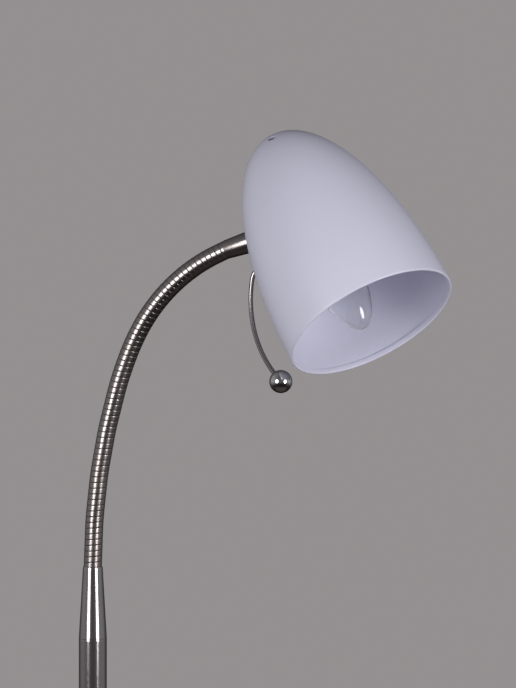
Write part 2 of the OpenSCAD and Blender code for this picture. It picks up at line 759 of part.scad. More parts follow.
base_pad();
base_weight();
base_cover();
base_washer();
base_nut();
base_nipple();
cord_grommet();
pole_collar();
pole_insert();
pole_lower();
pole_middle();
pole_upper();
pole_joiners();
neck_ferrule();
for (k = [1:link_count]) neck_link(k);
neck_sleeve();
neck_washer();
neck_nut();
shade();
holder_bracket();
holder_nipple();
holder_nut();
holder_cap();
holder_body();
holder_shell();
holder_contact();
terminal_screws();
head_leads();
bulb_glass();
bulb_stem();
bulb_filament();
bulb_cap();
bulb_insulator();
bulb_contact();
handle_wire();
handle_ball();
handle_nuts();
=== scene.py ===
# %% [markdown]
# # A floor lamp with a flexible ribbed neck
# The construction of this lamp is already there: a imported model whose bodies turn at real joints.
# This lesson dresses it. We load that model, set the camera where the photographer stood, make each
# visible surface from a formula with numpy, and light a small studio at the end.

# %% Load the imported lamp
import json
import math

import bmesh
import bpy
import numpy as np
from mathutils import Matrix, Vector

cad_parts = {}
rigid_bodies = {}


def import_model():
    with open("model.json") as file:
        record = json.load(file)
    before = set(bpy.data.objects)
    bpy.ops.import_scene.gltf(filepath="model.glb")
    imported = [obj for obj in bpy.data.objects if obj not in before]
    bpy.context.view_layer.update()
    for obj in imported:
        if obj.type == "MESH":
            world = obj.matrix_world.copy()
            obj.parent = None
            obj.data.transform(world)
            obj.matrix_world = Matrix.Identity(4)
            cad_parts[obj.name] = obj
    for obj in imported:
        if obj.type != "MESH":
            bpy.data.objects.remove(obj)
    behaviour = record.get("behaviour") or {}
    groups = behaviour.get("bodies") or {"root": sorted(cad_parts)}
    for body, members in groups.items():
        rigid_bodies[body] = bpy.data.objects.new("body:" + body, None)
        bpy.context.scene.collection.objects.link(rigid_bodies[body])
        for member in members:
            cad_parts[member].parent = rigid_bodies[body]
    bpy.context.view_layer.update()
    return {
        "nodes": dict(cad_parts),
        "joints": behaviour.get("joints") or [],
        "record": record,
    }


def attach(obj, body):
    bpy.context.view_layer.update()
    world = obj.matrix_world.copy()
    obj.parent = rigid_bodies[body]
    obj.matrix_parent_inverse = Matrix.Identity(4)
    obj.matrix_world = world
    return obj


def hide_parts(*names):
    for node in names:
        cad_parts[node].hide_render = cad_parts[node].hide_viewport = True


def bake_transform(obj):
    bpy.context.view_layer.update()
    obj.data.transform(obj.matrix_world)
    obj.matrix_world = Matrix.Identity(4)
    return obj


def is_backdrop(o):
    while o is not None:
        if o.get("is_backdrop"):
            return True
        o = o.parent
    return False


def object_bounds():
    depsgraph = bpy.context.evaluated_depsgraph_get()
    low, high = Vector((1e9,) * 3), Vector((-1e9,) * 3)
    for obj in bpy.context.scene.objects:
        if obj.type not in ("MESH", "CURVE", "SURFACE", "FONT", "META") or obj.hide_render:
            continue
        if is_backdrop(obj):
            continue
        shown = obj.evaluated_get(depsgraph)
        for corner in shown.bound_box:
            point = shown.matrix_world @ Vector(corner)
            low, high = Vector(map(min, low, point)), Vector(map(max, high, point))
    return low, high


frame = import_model()
MM = 0.001

# %% [markdown]
# ## The neck's skeleton
# The neck is a chain of short links. Each joint in the record gives one hinge point, so the
# centreline of the whole neck can be read from the frame, and nothing has to be measured again.

# %% Read the hinges from the frame
joint_from = {joint["parent"]: joint for joint in frame["joints"]}
chain = ["stand"]
while chain[-1] in joint_from:
    chain.append(joint_from[chain[-1]]["child"])
hinges = np.array([joint_from[name]["pos_m"] for name in chain[:-1]]) / MM
link_len = float(np.linalg.norm(hinges[1] - hinges[0]))
heading = np.diff(hinges, axis=0) / link_len
lean_of_links = np.arctan2(heading[:, 0], heading[:, 2])
head_lean = 2 * lean_of_links[-1] - lean_of_links[-2]
print("hinges", len(hinges), "link", round(link_len, 3), "mm, head leans", round(math.degrees(head_lean), 1))

# %% [markdown]
# ## Frames of the head
# The sleeve carries on from the last link, and the head is turned a little about it. The shade's
# own frame has its origin in the middle of the mouth, +Z towards the crown and the neck on its -X
# side. A frame is a pair: a rotation whose columns are the axes, and an origin in millimetres.


# %% Frames
def turn_y(angle):
    """Rotation about Y by the angle: z turns towards x."""
    c, s = math.cos(angle), math.sin(angle)
    return np.array([[c, 0, s], [0, 1, 0], [-s, 0, c]])


def turn_z(angle):
    """Rotation about Z by the angle: x turns towards y."""
    c, s = math.cos(angle), math.sin(angle)
    return np.array([[c, -s, 0], [s, c, 0], [0, 0, 1]])


def shifted(frame_at, offset):
    """The same axes with the origin moved along them."""
    return frame_at[0], frame_at[1] + frame_at[0] @ np.asarray(offset, float)


def turned(frame_at, rotation):
    """The same origin with the axes turned."""
    return frame_at[0] @ rotation, frame_at[1]


def extent(node, frame_at):
    """Lowest and highest corner of a CAD node in a frame, in millimetres."""
    mesh = frame["nodes"][node].data
    flat = np.empty(3 * len(mesh.vertices))
    mesh.vertices.foreach_get("co", flat)
    local = (flat.reshape(-1, 3) / MM - frame_at[1]) @ frame_at[0]
    return local.min(0), local.max(0)


in_world = (np.eye(3), np.zeros(3))
print("base cover's box", [v.round(2).tolist() for v in extent("base_cover", in_world)])

# %% Shade profile and where it hangs
SHADE_R, SHADE_H, SHEET = 60.0, 159.0, 0.9
FLANK, BLUNT = 2.24, 2.05
NECK_HOLE_Z, HANDLE_HOLE_Z = 102.5, 87.5
SLEEVE_LEN, HEAD_TURN, HANDLE_TURN = 20.0, math.radians(-13.8), math.radians(-12.5)
BULB_OFFSET = 6.0
SLOPE_STEP = 0.01


def wall_radius(z, radius=SHADE_R, height=SHADE_H):
    """Bullet profile: radius times (1 - (z/height)^flank)^(1/blunt)."""
    share = np.clip(np.asarray(z, float) / height, 0, 1)
    return radius * (1 - share**FLANK) ** (1 / BLUNT)


def wall_lean(z):
    """Angle between the wall and the shade's axis, from the profile's slope at that height."""
    return math.atan(float(wall_radius(z - SLOPE_STEP) - wall_radius(z + SLOPE_STEP)) / (2 * SLOPE_STEP))


neck_lean = wall_lean(NECK_HOLE_Z)
neck_hole_r = float(wall_radius(NECK_HOLE_Z))
in_sleeve = turned((turn_y(head_lean), hinges[-1]), turn_z(HEAD_TURN))
in_shade = turned(shifted(in_sleeve, (0, 0, SLEEVE_LEN)), turn_y(-math.pi / 2 - neck_lean))
in_shade = shifted(in_shade, (neck_hole_r, 0, -NECK_HOLE_Z))
on_bulb = shifted(in_shade, (-BULB_OFFSET, 0, 0))
in_handle = turned(in_shade, turn_z(HANDLE_TURN))
print("shade's own box", [v.round(2).tolist() for v in extent("shade", in_shade)])

# %% [markdown]
# ## The camera
# The photograph was taken level with the lower half of the head, with a long lens, from 22 degrees
# round the pole. The numbers come from fitting the lamp's outline to a picture of 516 by 688.

# %% Camera
FOCAL_PX, FRAME_LONG_PX, SENSOR_MM = 2346.0, 688.0, 36.0
VIEW_AZIMUTH = math.radians(22)
CAMERA_RIGHT, CAMERA_BACK, CAMERA_HEIGHT = 117.93, 1674.92, 1207.95
view_right = np.array([math.cos(VIEW_AZIMUTH), math.sin(VIEW_AZIMUTH), 0])
view_toward = np.array([math.sin(VIEW_AZIMUTH), -math.cos(VIEW_AZIMUTH), 0])
scene = bpy.context.scene

camera_data = bpy.data.cameras.new("camera")
camera_data.sensor_width = SENSOR_MM
camera_data.lens = SENSOR_MM * FOCAL_PX / FRAME_LONG_PX
camera_data.clip_start, camera_data.clip_end = 0.05, 60
camera = bpy.data.objects.new("camera", camera_data)
camera.location = (view_right * CAMERA_RIGHT + view_toward * CAMERA_BACK) * MM
camera.location.z = CAMERA_HEIGHT * MM
camera.rotation_euler = (math.pi / 2, 0, VIEW_AZIMUTH)
scene.collection.objects.link(camera)
scene.camera = camera
scene.view_settings.view_transform = "Standard"
print("lens", round(camera_data.lens, 2), "mm at", [round(v, 3) for v in camera.location])

# %% [markdown]
# ## Surfaces from formulas
# Nearly every piece here is one of two things: an outline turned about an axis, or a ring carried
# along a path. Both give a grid of points, so one helper can join any grid into faces. Corners are
# softened first, because real edges are never perfectly sharp and catch a thin line of light.

# %% Grid helpers
ROUND_COLUMNS, CORNER_STEPS, CORNER_SHARE = 128, 4, 0.45


def grid_faces(rows, columns, wrap_rows=False):
    """Quads of a grid of vertices numbered row by row; columns close on themselves, rows may."""
    index = np.arange(rows * columns).reshape(rows, columns)
    index = np.column_stack([index, index[:, :1]])
    if wrap_rows:
        index = np.vstack([index, index[:1]])
    corners = [index[:-1, :-1], index[:-1, 1:], index[1:, 1:], index[1:, :-1]]
    return np.stack(corners, -1).reshape(-1, 4)


def soften(outline, radius, closed=True):
    """Outline whose corners are parabolas that start and end at the radius from each corner."""
    p = np.asarray(outline, float)
    before, after = np.roll(p, 1, 0) - p, np.roll(p, -1, 0) - p
    reach = [np.minimum(radius / np.linalg.norm(v, axis=1), CORNER_SHARE)[:, None] for v in (before, after)]
    a, b = (p + before * reach[0])[:, None], (p + after * reach[1])[:, None]
    t = np.linspace(0, 1, CORNER_STEPS + 1)[None, :, None]
    curves = (1 - t) ** 2 * a + 2 * t * (1 - t) * p[:, None] + t**2 * b
    if closed:
        return curves.reshape(-1, 2)
    return np.concatenate([p[:1], curves[1:-1].reshape(-1, 2), p[-1:]])


def revolve(outline, columns=ROUND_COLUMNS):
    """Outline of (radius, height) turned about z: x = r cos t, y = r sin t, z = h."""
    t = np.linspace(0, 2 * np.pi, columns, endpoint=False)
    r, h = np.asarray(outline, float).T[:, :, None]
    return np.stack([r * np.cos(t), r * np.sin(t), h + 0 * t], -1)


def tube_grid(path, across, up, radius, columns):
    """Ring carried along a path: p + r (cos t across + sin t up); r is given per row or per point."""
    t = np.linspace(0, 2 * np.pi, columns, endpoint=False)[None, :, None]
    r = np.asarray(radius, float).reshape(len(path), -1)[:, :, None]
    return path[:, None] + r * (np.cos(t) * across[:, None] + np.sin(t) * up[:, None])


def unit(vectors):
    """Each row scaled to length one."""
    return vectors / np.linalg.norm(vectors, axis=-1, keepdims=True)


def placed(points, frame_at):
    """Points of a local frame in millimetres, as points of the lamp in metres."""
    return (points.reshape(-1, 3) @ frame_at[0].T + frame_at[1]) * MM


print("a ring of", ROUND_COLUMNS, "columns has", len(grid_faces(2, ROUND_COLUMNS)), "faces")

# %% [markdown]
# ## From arrays to pieces
# A piece is a mesh at the origin whose place is in its vertices. Poles and seams are welded, edges
# sharper than 38 degrees stay sharp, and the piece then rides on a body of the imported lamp.

# %% Piece helpers
SHARP_ANGLE = math.radians(38)
WELD = 2e-6


def make_object(name, points, faces, finish, groove=None):
    """Welded, smooth mesh object with one material; groove is a share of depth for each point."""
    mesh = bpy.data.meshes.new(name)
    mesh.from_pydata(points.tolist(), [], faces.tolist())
    if groove is not None:
        mesh.attributes.new("groove", "FLOAT", "POINT").data.foreach_set("value", groove.astype(np.float32))
    work = bmesh.new()
    work.from_mesh(mesh)
    bmesh.ops.remove_doubles(work, verts=work.verts, dist=WELD)
    work.to_mesh(mesh)
    work.free()
    mesh.shade_smooth()
    mesh.set_sharp_from_angle(angle=SHARP_ANGLE)
    mesh.materials.append(finish)
    made = bpy.data.objects.new(name, mesh)
    scene.collection.objects.link(made)
    return made


def make_piece(name, points, faces, finish, body, nodes=()):
    """A piece that rides on a body and stands for CAD nodes."""
    made = make_object(name, points, faces, finish)
    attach(made, body)
    if nodes:
        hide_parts(*nodes)
    return made


def turned_piece(name, outline, frame_at, finish, body, nodes=(), closed=True, columns=ROUND_COLUMNS):
    """A piece made by turning an outline: a closed one has a bore, an open one ends on the axis."""
    grid = revolve(outline, columns)
    faces = grid_faces(len(grid), columns, wrap_rows=closed)
    return make_piece(name, placed(grid, frame_at), faces, finish, body, nodes)


print("points closer than", WELD, "m are welded")

# %% [markdown]
# ## Shared shader groups
# Three effects come back in several finishes: slow patches of tone and gloss, fine drawn lines, and
# the faint ripple of sprayed paint. Each is a node group, built once, with its own values in each
# material. Colours and roughness that change over the surface come out of the group.

# %% Group helpers
FLOAT, COLOR, VECTOR = "NodeSocketFloat", "NodeSocketColor", "NodeSocketVector"


def new_group(name, inputs, outputs):
    """Shader group with named sockets; returns the tree, its input node and its output node."""
    tree = bpy.data.node_groups.new(name, "ShaderNodeTree")
    for label, kind in inputs:
        tree.interface.new_socket(label, in_out="INPUT", socket_type=kind)
    for label, kind in outputs:
        tree.interface.new_socket(label, in_out="OUTPUT", socket_type=kind)
    return tree, tree.nodes.new("NodeGroupInput"), tree.nodes.new("NodeGroupOutput")


def add_node(tree, kind, sockets=(), **settings):
    """A node with its settings, and sockets given as (index or name, another node's socket or a value)."""
    node = tree.nodes.new(kind)
    for key, value in settings.items():
        setattr(node, key, value)
    for key, source in sockets:
        if isinstance(source, bpy.types.NodeSocket):
            tree.links.new(source, node.inputs[key])
        else:
            node.inputs[key].default_value = source
    return node


print("kinds of socket", FLOAT, COLOR, VECTOR)

# %% Slow patches
patches, take, give = new_group(
    "slow_patches",
    [("Vector", VECTOR), ("Scale", FLOAT), ("Base", COLOR), ("Tone", COLOR), ("Smooth", FLOAT),
     ("Rough", FLOAT)],
    [("Color", COLOR), ("Roughness", FLOAT)],
)
cloud = add_node(patches, "ShaderNodeTexNoise", [
    ("Vector", take.outputs["Vector"]), ("Scale", take.outputs["Scale"]), ("Detail", 5.0),
    ("Roughness", 0.6)])
mask = add_node(patches, "ShaderNodeMapRange", [
    ("Value", cloud.outputs["Fac"]), ("From Min", 0.34), ("From Max", 0.66)])
tone = add_node(patches, "ShaderNodeMix", [
    (0, mask.outputs["Result"]), (6, take.outputs["Base"]), (7, take.outputs["Tone"])], data_type="RGBA")
gloss = add_node(patches, "ShaderNodeMapRange", [
    ("Value", mask.outputs["Result"]), ("To Min", take.outputs["Smooth"]), ("To Max", take.outputs["Rough"])])
patches.links.new(tone.outputs[2], give.inputs["Color"])
patches.links.new(gloss.outputs["Result"], give.inputs["Roughness"])
print(patches.name, "has", len(patches.nodes), "nodes")

# %% Drawn lines and paint ripple
lines, take, give = new_group("drawn_lines", [("Vector", VECTOR), ("Density", VECTOR)], [("Height", FLOAT)])
stretched = add_node(lines, "ShaderNodeVectorMath", [
    (0, take.outputs["Vector"]), (1, take.outputs["Density"])], operation="MULTIPLY")
streaks = add_node(lines, "ShaderNodeTexNoise", [
    ("Vector", stretched.outputs[0]), ("Scale", 1.0), ("Detail", 3.0), ("Roughness", 0.65)])
lines.links.new(streaks.outputs["Fac"], give.inputs["Height"])

ripple, take, give = new_group("paint_ripple", [("Vector", VECTOR), ("Scale", FLOAT)], [("Height", FLOAT)])
peel = add_node(ripple, "ShaderNodeTexNoise", [
    ("Vector", take.outputs["Vector"]), ("Scale", take.outputs["Scale"]), ("Detail", 1.5),
    ("Roughness", 0.4)])
ripple.links.new(peel.outputs["Fac"], give.inputs["Height"])
print(lines.name, "and", ripple.name, "have", len(lines.nodes), "and", len(ripple.nodes), "nodes")

# %% [markdown]
# ## Finishes
# One function lays out every opaque finish: patches feed colour and roughness, and lines or ripple
# feed a very low bump. Values that are the same all over go straight onto the shader's own sockets.
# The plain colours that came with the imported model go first, because these take over their names.


# %% Finish builder
def new_finish(name, base, tone, scale, smooth, rough, metallic=0.0, density=None, peel=None, height=0.0,
               coat=0.0):
    """Material of slow patches of two tones, with drawn lines or paint ripple as its relief."""
    made = bpy.data.materials.new(name)
    made.use_nodes = True
    tree = made.node_tree
    shader = tree.nodes["Principled BSDF"]
    place = add_node(tree, "ShaderNodeTexCoord").outputs["Object"]
    patch = add_node(tree, "ShaderNodeGroup", node_tree=patches)
    relief = add_node(tree, "ShaderNodeGroup", node_tree=lines if density else ripple)
    tree.links.new(place, patch.inputs["Vector"])
    tree.links.new(place, relief.inputs["Vector"])
    for label, value in [("Scale", scale), ("Base", (*base, 1)), ("Tone", (*tone, 1)), ("Smooth", smooth),
                         ("Rough", rough)]:
        patch.inputs[label].default_value = value
    relief.inputs["Density" if density else "Scale"].default_value = density or peel
    bump = add_node(tree, "ShaderNodeBump", [("Height", relief.outputs["Height"]), ("Distance", height)])
    tree.links.new(patch.outputs["Color"], shader.inputs["Base Color"])
    tree.links.new(patch.outputs["Roughness"], shader.inputs["Roughness"])
    tree.links.new(bump.outputs["Normal"], shader.inputs["Normal"])
    shader.inputs["Metallic"].default_value = metallic
    shader.inputs["Coat Weight"].default_value = coat
    shader.inputs["Coat Roughness"].default_value = smooth / 2
    return made


print("a finish uses", patches.name, "and either", lines.name, "or", ripple.name)

# %% [markdown]
# Pole, ferrule, base and handle are nickel plate, with faint lines round the pole. The wound neck is
# the same plate, darker and duller, and shares the nickel's slot in the record. How deep a point
# lies in its groove is a number on the mesh, which mixes in a darker colour there: painted shade in
# the grooves, with a little grime. The ball is chromed, the small fixings are zinc or brass, and the
# weight in the base is rough cast iron. A picture could give the same fine lines, but noise stretched
# along one axis never repeats and needs no file.

# %% Metal finishes
# Colour at the floor of the neck's grooves: painted shade, with a little grime.
GROOVE_SHADE_AND_GRIME = (0.32, 0.29, 0.28, 1)
for plain in list(bpy.data.materials):
    bpy.data.materials.remove(plain)
satin_nickel = new_finish("satin_nickel", (0.44, 0.42, 0.425), (0.40, 0.38, 0.38), 45, 0.14, 0.18,
                          metallic=1.0, density=(200, 200, 2400), height=0.0000006)
wound_nickel = new_finish("wound_nickel", (0.37, 0.335, 0.33), (0.33, 0.295, 0.285), 45, 0.25, 0.31,
                          metallic=1.0, density=(200, 200, 2400), height=0.0000006)
polished_chrome = new_finish("polished_chrome", (0.76, 0.76, 0.77), (0.71, 0.71, 0.72), 70, 0.03, 0.06,
                             metallic=1.0, peel=900, height=0.000001)
wound_nickel["slot"] = satin_nickel.name
tree = wound_nickel.node_tree
shader = tree.nodes["Principled BSDF"]
# The groove depth mixes the darker colour into the base colour: painted shade in the grooves, with a little
# grime.
in_groove = add_node(tree, "ShaderNodeAttribute", attribute_name="groove")
shaded_grooves = add_node(tree, "ShaderNodeMix", [
    (0, in_groove.outputs["Fac"]), (6, shader.inputs["Base Color"].links[0].from_socket), (7, GROOVE_SHADE_AND_GRIME)],
    data_type="RGBA")
tree.links.new(shaded_grooves.outputs[2], shader.inputs["Base Color"])
zinc_plate = new_finish("zinc_plate", (0.58, 0.59, 0.60), (0.50, 0.50, 0.50), 120, 0.28, 0.42,
                        metallic=1.0, peel=2200, height=0.000008)
brass = new_finish("brass", (0.74, 0.57, 0.28), (0.64, 0.47, 0.22), 120, 0.18, 0.32,
                   metallic=1.0, peel=1800, height=0.000006)
filament = new_finish("filament", (0.30, 0.30, 0.31), (0.22, 0.22, 0.23), 300, 0.3, 0.45,
                      metallic=1.0, peel=3000, height=0.000004)
cast_weight = new_finish("cast_weight", (0.055, 0.055, 0.058), (0.085, 0.08, 0.078), 90, 0.55, 0.75,
                         peel=700, height=0.0002)
metals = (satin_nickel, wound_nickel, polished_chrome, zinc_plate, brass, filament, cast_weight)
print("metals", [finish.name for finish in metals])

# %% [markdown]
# The shade is sprayed with a white lacquer that looks cool, almost lilac, in this light. It has a
# thin coat and a faint ripple. The lampholder and the leads are dull off-white plastic, the pad and
# the bush are black rubber, and the insulator under the bulb's cap is a glossy black. The ripple is
# a bump and not a shape, because it is only a few thousandths of a millimetre high.

# %% Paint, plastic and rubber finishes
white_lacquer = new_finish("white_lacquer", (0.815, 0.81, 0.965), (0.80, 0.795, 0.945), 18, 0.33, 0.39,
                           peel=650, height=0.000006, coat=0.1)
holder_moulding = new_finish("holder_moulding", (0.78, 0.77, 0.74), (0.74, 0.73, 0.69), 60, 0.36, 0.46,
                             peel=1500, height=0.00001)
lead_insulation = new_finish("lead_insulation", (0.74, 0.73, 0.70), (0.68, 0.67, 0.63), 90, 0.42, 0.55,
                             peel=1600, height=0.00001)
black_insulator = new_finish("black_insulator", (0.018, 0.018, 0.02), (0.028, 0.028, 0.03), 200, 0.12, 0.22,
                             peel=1200, height=0.000006)
black_rubber = new_finish("black_rubber", (0.022, 0.022, 0.023), (0.035, 0.034, 0.034), 60, 0.62, 0.8,
                          peel=1400, height=0.00004)
others = (white_lacquer, holder_moulding, lead_insulation, black_insulator, black_rubber)
print("others", [finish.name for finish in others])

# %% [markdown]
# Clear glass is its own shader: full transmission, with faint patches of handling haze in the
# roughness. Light has to reach the shade through the thin wall, so shadow rays go straight through.

# %% Clear glass
clear_glass = bpy.data.materials.new("clear_glass")
clear_glass.use_nodes = True
tree = clear_glass.node_tree
glass = tree.nodes["Principled BSDF"]
glass.inputs["Base Color"].default_value = (0.985, 0.995, 0.99, 1)
glass.inputs["Transmission Weight"].default_value = 1.0
glass.inputs["IOR"].default_value = 1.5
glass.inputs["Specular IOR Level"].default_value = 0.85
haze = add_node(tree, "ShaderNodeGroup", node_tree=patches)
tree.links.new(add_node(tree, "ShaderNodeTexCoord").outputs["Object"], haze.inputs["Vector"])
for label, value in [("Scale", 60), ("Smooth", 0.02), ("Rough", 0.04)]:
    haze.inputs[label].default_value = value
tree.links.new(haze.outputs["Roughness"], glass.inputs["Roughness"])
rays = add_node(tree, "ShaderNodeLightPath")
passing = add_node(tree, "ShaderNodeBsdfTransparent", [("Color", (0.985, 0.99, 0.99, 1))])
wall = add_node(tree, "ShaderNodeMixShader", [
    (0, rays.outputs["Is Shadow Ray"]), (1, glass.outputs["BSDF"]), (2, passing.outputs["BSDF"])])
tree.links.new(wall.outputs["Shader"], tree.nodes["Material Output"].inputs["Surface"])
print("glass has", len(tree.nodes), "nodes")

# %% [markdown]
# The pieces inside the lamp that no formula below replaces keep their CAD shape. Each takes the
# finish that the record names for it.

# %% Finishes of the CAD nodes
for part in frame["record"]["subparts"]:
    mesh = frame["nodes"][part["node"]].data
    mesh.materials.clear()
    mesh.materials.append(bpy.data.materials[part["material_slot"]])

# %% [markdown]
# ## The flexible neck
# The real neck is one strip and one wire wound side by side: a wide, low rib with a narrow wire
# sunk between its turns. Seen from the side it is a right-handed screw of about 4 mm a turn. The
# surface is a tube whose radius depends on the phase s/pitch - t/(2 pi): along a rib that phase
# stays the same. A Screw modifier could wind a straight hose, but this one is curved from the start,
# so the tube is carried along the hinges instead. The depth below the crown goes with each point,
# and the finish darkens by it: painted shade in the grooves, with a little grime. The neck is cut at
# the middle of each link, and each length spans one joint.

# %% Neck sizes
NECK_D, NECK_BORE, GROOVE = 13.0, 6.0, 0.20
TURNS_PER_LINK, RIB_SHARE, END_SHARE = 4, 0.94, 0.17
RIB_POWER, WIRE_SINK, WIRE_RISE = 8.0, 0.03, 0.03
NECK_COLUMNS, ROWS_PER_TURN = 72, 36
SIDE = np.array([0.0, 1.0, 0.0])
pitch = link_len / TURNS_PER_LINK
end_gap = pitch * END_SHARE
groove_r = NECK_D / 2 - GROOVE


def wound_radius(s, t):
    """Radius at arc length s and angle t: an arch over the rib's share of a turn, a low one beside it."""
    phase = np.mod(s[:, None] / pitch - t[None, :] / (2 * np.pi), 1)
    rib = np.sqrt(1 - np.abs(2 * np.clip(phase / RIB_SHARE, 0, 1) - 1) ** RIB_POWER)
    wire = np.sin(np.pi * np.clip((phase - RIB_SHARE) / (1 - RIB_SHARE), 0, 1))
    return np.where(phase < RIB_SHARE, groove_r + GROOVE * rib, groove_r - WIRE_SINK + WIRE_RISE * wire)


def bent_path(start, corner, end, rows):
    """Parabola from start to end whose ends point at the corner, with its unit tangents."""
    t = np.linspace(0, 1, rows)[:, None]
    path = (1 - t) ** 2 * start + 2 * t * (1 - t) * corner + t**2 * end
    return path, unit((1 - t) * (corner - start) + t * (end - corner))


print("pitch", round(pitch, 3), "mm, groove", GROOVE, "mm deep")

# %% Neck lengths, one across each joint
neck_angle = np.linspace(0, 2 * np.pi, NECK_COLUMNS, endpoint=False)
lean_ends = np.r_[0, lean_of_links, head_lean]
link_ways = np.c_[np.sin(lean_ends), 0 * lean_ends, np.cos(lean_ends)]
travelled, neck_tris = 0.0, 0
for k, hinge in enumerate(hinges):
    back = end_gap if k == 0 else link_len / 2
    ahead = end_gap if k == len(hinges) - 1 else link_len / 2
    start, end = hinge - back * link_ways[k], hinge + ahead * link_ways[k + 1]
    path, tangent = bent_path(start, hinge, end, 1 + round((back + ahead) / pitch * ROWS_PER_TURN))
    run = np.r_[0, np.cumsum(np.linalg.norm(np.diff(path, axis=0), axis=1))]
    across, up = np.cross(SIDE, tangent), np.broadcast_to(SIDE, path.shape)
    radius = wound_radius(travelled + run, neck_angle)
    outer = tube_grid(path, across, up, radius, NECK_COLUMNS)
    inner = tube_grid(path[[-1, 0]], across[[-1, 0]], up[:2], [NECK_BORE / 2] * 2, NECK_COLUMNS)
    grid = np.concatenate([outer, inner])
    depth = np.clip((NECK_D / 2 - radius) / GROOVE, 0, 1)
    made = make_object(f"neck_length_{k:02d}", placed(grid, in_world),
                       grid_faces(len(grid), NECK_COLUMNS, wrap_rows=True), wound_nickel,
                       groove=np.r_[depth.ravel(), np.zeros(2 * NECK_COLUMNS)])
    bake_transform(made)
    if k:
        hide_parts(f"neck_link_{k:02d}")
    travelled += run[-1]
    neck_tris += 2 * len(made.data.polygons)
print("end gap", round(end_gap, 3), "neck", round(travelled, 1), "mm long,", neck_tris, "triangles")

# %% [markdown]
# ## Ferrule, pole and collar
# These are lathe work: one outline turned about an axis. The ferrule tapers from the pole to a
# rounded shoulder just under the neck. The pole is three plain tubes, with hairline joints where
# they meet, and a flared collar covers its foot. A ring of points near each tube's end keeps the
# softened edge from shading the whole length.

# %% Ferrule
POLE_R, POLE_WALL = 10.0, 1.2
FERRULE_LEN, SPIGOT, LIP_R, SHOULDER_R, SHOULDER_H = 52.0, 20.0, 6.7, 7.25, 3.6
FIT, EASY_FIT, EDGE, QUARTER_STEPS = 0.05, 0.15, 0.3, 17
plug_r = POLE_R - POLE_WALL - FIT
quarter = np.linspace(0, np.pi / 2, QUARTER_STEPS)
shoulder = np.c_[LIP_R + (SHOULDER_R - LIP_R) * np.cos(quarter),
                 -end_gap - SHOULDER_H * (1 - np.sin(quarter))]
ferrule = np.r_[
    [[NECK_BORE / 2, -FERRULE_LEN - SPIGOT], [plug_r, -FERRULE_LEN - SPIGOT], [plug_r, -FERRULE_LEN],
     [POLE_R - EDGE, -FERRULE_LEN], [POLE_R, -FERRULE_LEN + EDGE]],
    shoulder, [[NECK_BORE / 2, -end_gap]],
]
turned_piece("ferrule", ferrule, (np.eye(3), hinges[0]), satin_nickel, "stand", ["neck_ferrule"])
print("ferrule from", round(hinges[0][2] - FERRULE_LEN, 1), "to", round(hinges[0][2], 1), "mm")

# %% Pole tubes and collar
TUBE_EDGE, END_RING = 0.25, 2.0
for name in ("pole_lower", "pole_middle", "pole_upper"):
    low, high = (corner[2] for corner in extent(name, in_world))
    bore_r = POLE_R - POLE_WALL
    tube = soften([[bore_r, low], [POLE_R, low], [POLE_R, low + END_RING], [POLE_R, high - END_RING],
                   [POLE_R, high], [bore_r, high]], TUBE_EDGE)
    turned_piece(name + "_tube", tube, in_world, satin_nickel, "stand", [name])

BASE_H, COLLAR_R, COLLAR_H, COLLAR_LIP, COLLAR_TOP = 24.0, 19.0, 14.0, 2.2, 0.4
collar_bore = POLE_R + EASY_FIT
swell = COLLAR_R - collar_bore - COLLAR_LIP
flare = np.c_[COLLAR_R - swell * np.sin(quarter), COLLAR_H - (COLLAR_H - COLLAR_LIP) * np.cos(quarter)]
collar = np.r_[
    [[collar_bore, 0], [COLLAR_R - EDGE, 0], [COLLAR_R, EDGE], [COLLAR_R, COLLAR_LIP - EDGE]],
    flare[1:-1], [[collar_bore + COLLAR_TOP, COLLAR_H], [collar_bore, COLLAR_H - EDGE]],
]
on_base = shifted(in_world, (0, 0, BASE_H))
turned_piece("collar_turned", collar, on_base, satin_nickel, "stand", ["pole_collar"])
print("pole ends at", round(high, 1), "mm, collar is", COLLAR_H, "mm high")

# %% [markdown]
# ## Sleeve, nuts and washer
# The sleeve widens from the neck to the shade and ends in a thread that a nut grips inside. A thread
# is a second use of the neck's idea: a radius that climbs with the angle. A nut is six flats cut by
# a cone at each end, so its radius is simply the smaller of the two.

# %% Sleeve with its thread
SLEEVE_SMALL_R, SLEEVE_LARGE_R, THREAD_R, THREAD_PITCH, THREAD_DEPTH = 6.65, 7.8, 5.0, 1.0, 0.45
PLAIN_LEN, SLEEVE_EDGE = 1.0, 0.2
SCREW_COLUMNS, ROWS_PER_THREAD = 64, 8


def screw_grid(z0, z1, radius, lead, depth, bore):
    """Threaded tube: radius - depth |2 phase - 1| with phase z/lead - t/(2 pi), and a plain bore."""
    z = np.linspace(z0, z1, 1 + round((z1 - z0) / lead * ROWS_PER_THREAD))
    t = np.linspace(0, 2 * np.pi, SCREW_COLUMNS, endpoint=False)
    r = radius - depth * np.abs(2 * np.mod(z[:, None] / lead - t / (2 * np.pi), 1) - 1)
    rod = np.stack([r * np.cos(t), r * np.sin(t), z[:, None] + 0 * t], -1)
    return np.concatenate([rod, revolve([[bore, z1], [bore, z0]], SCREW_COLUMNS)])


def screw_piece(name, frame_at, sizes, finish, body, nodes=()):
    """A threaded tube as a piece."""
    grid = screw_grid(*sizes)
    faces = grid_faces(len(grid), SCREW_COLUMNS, wrap_rows=True)
    return make_piece(name, placed(grid, frame_at), faces, finish, body, nodes)


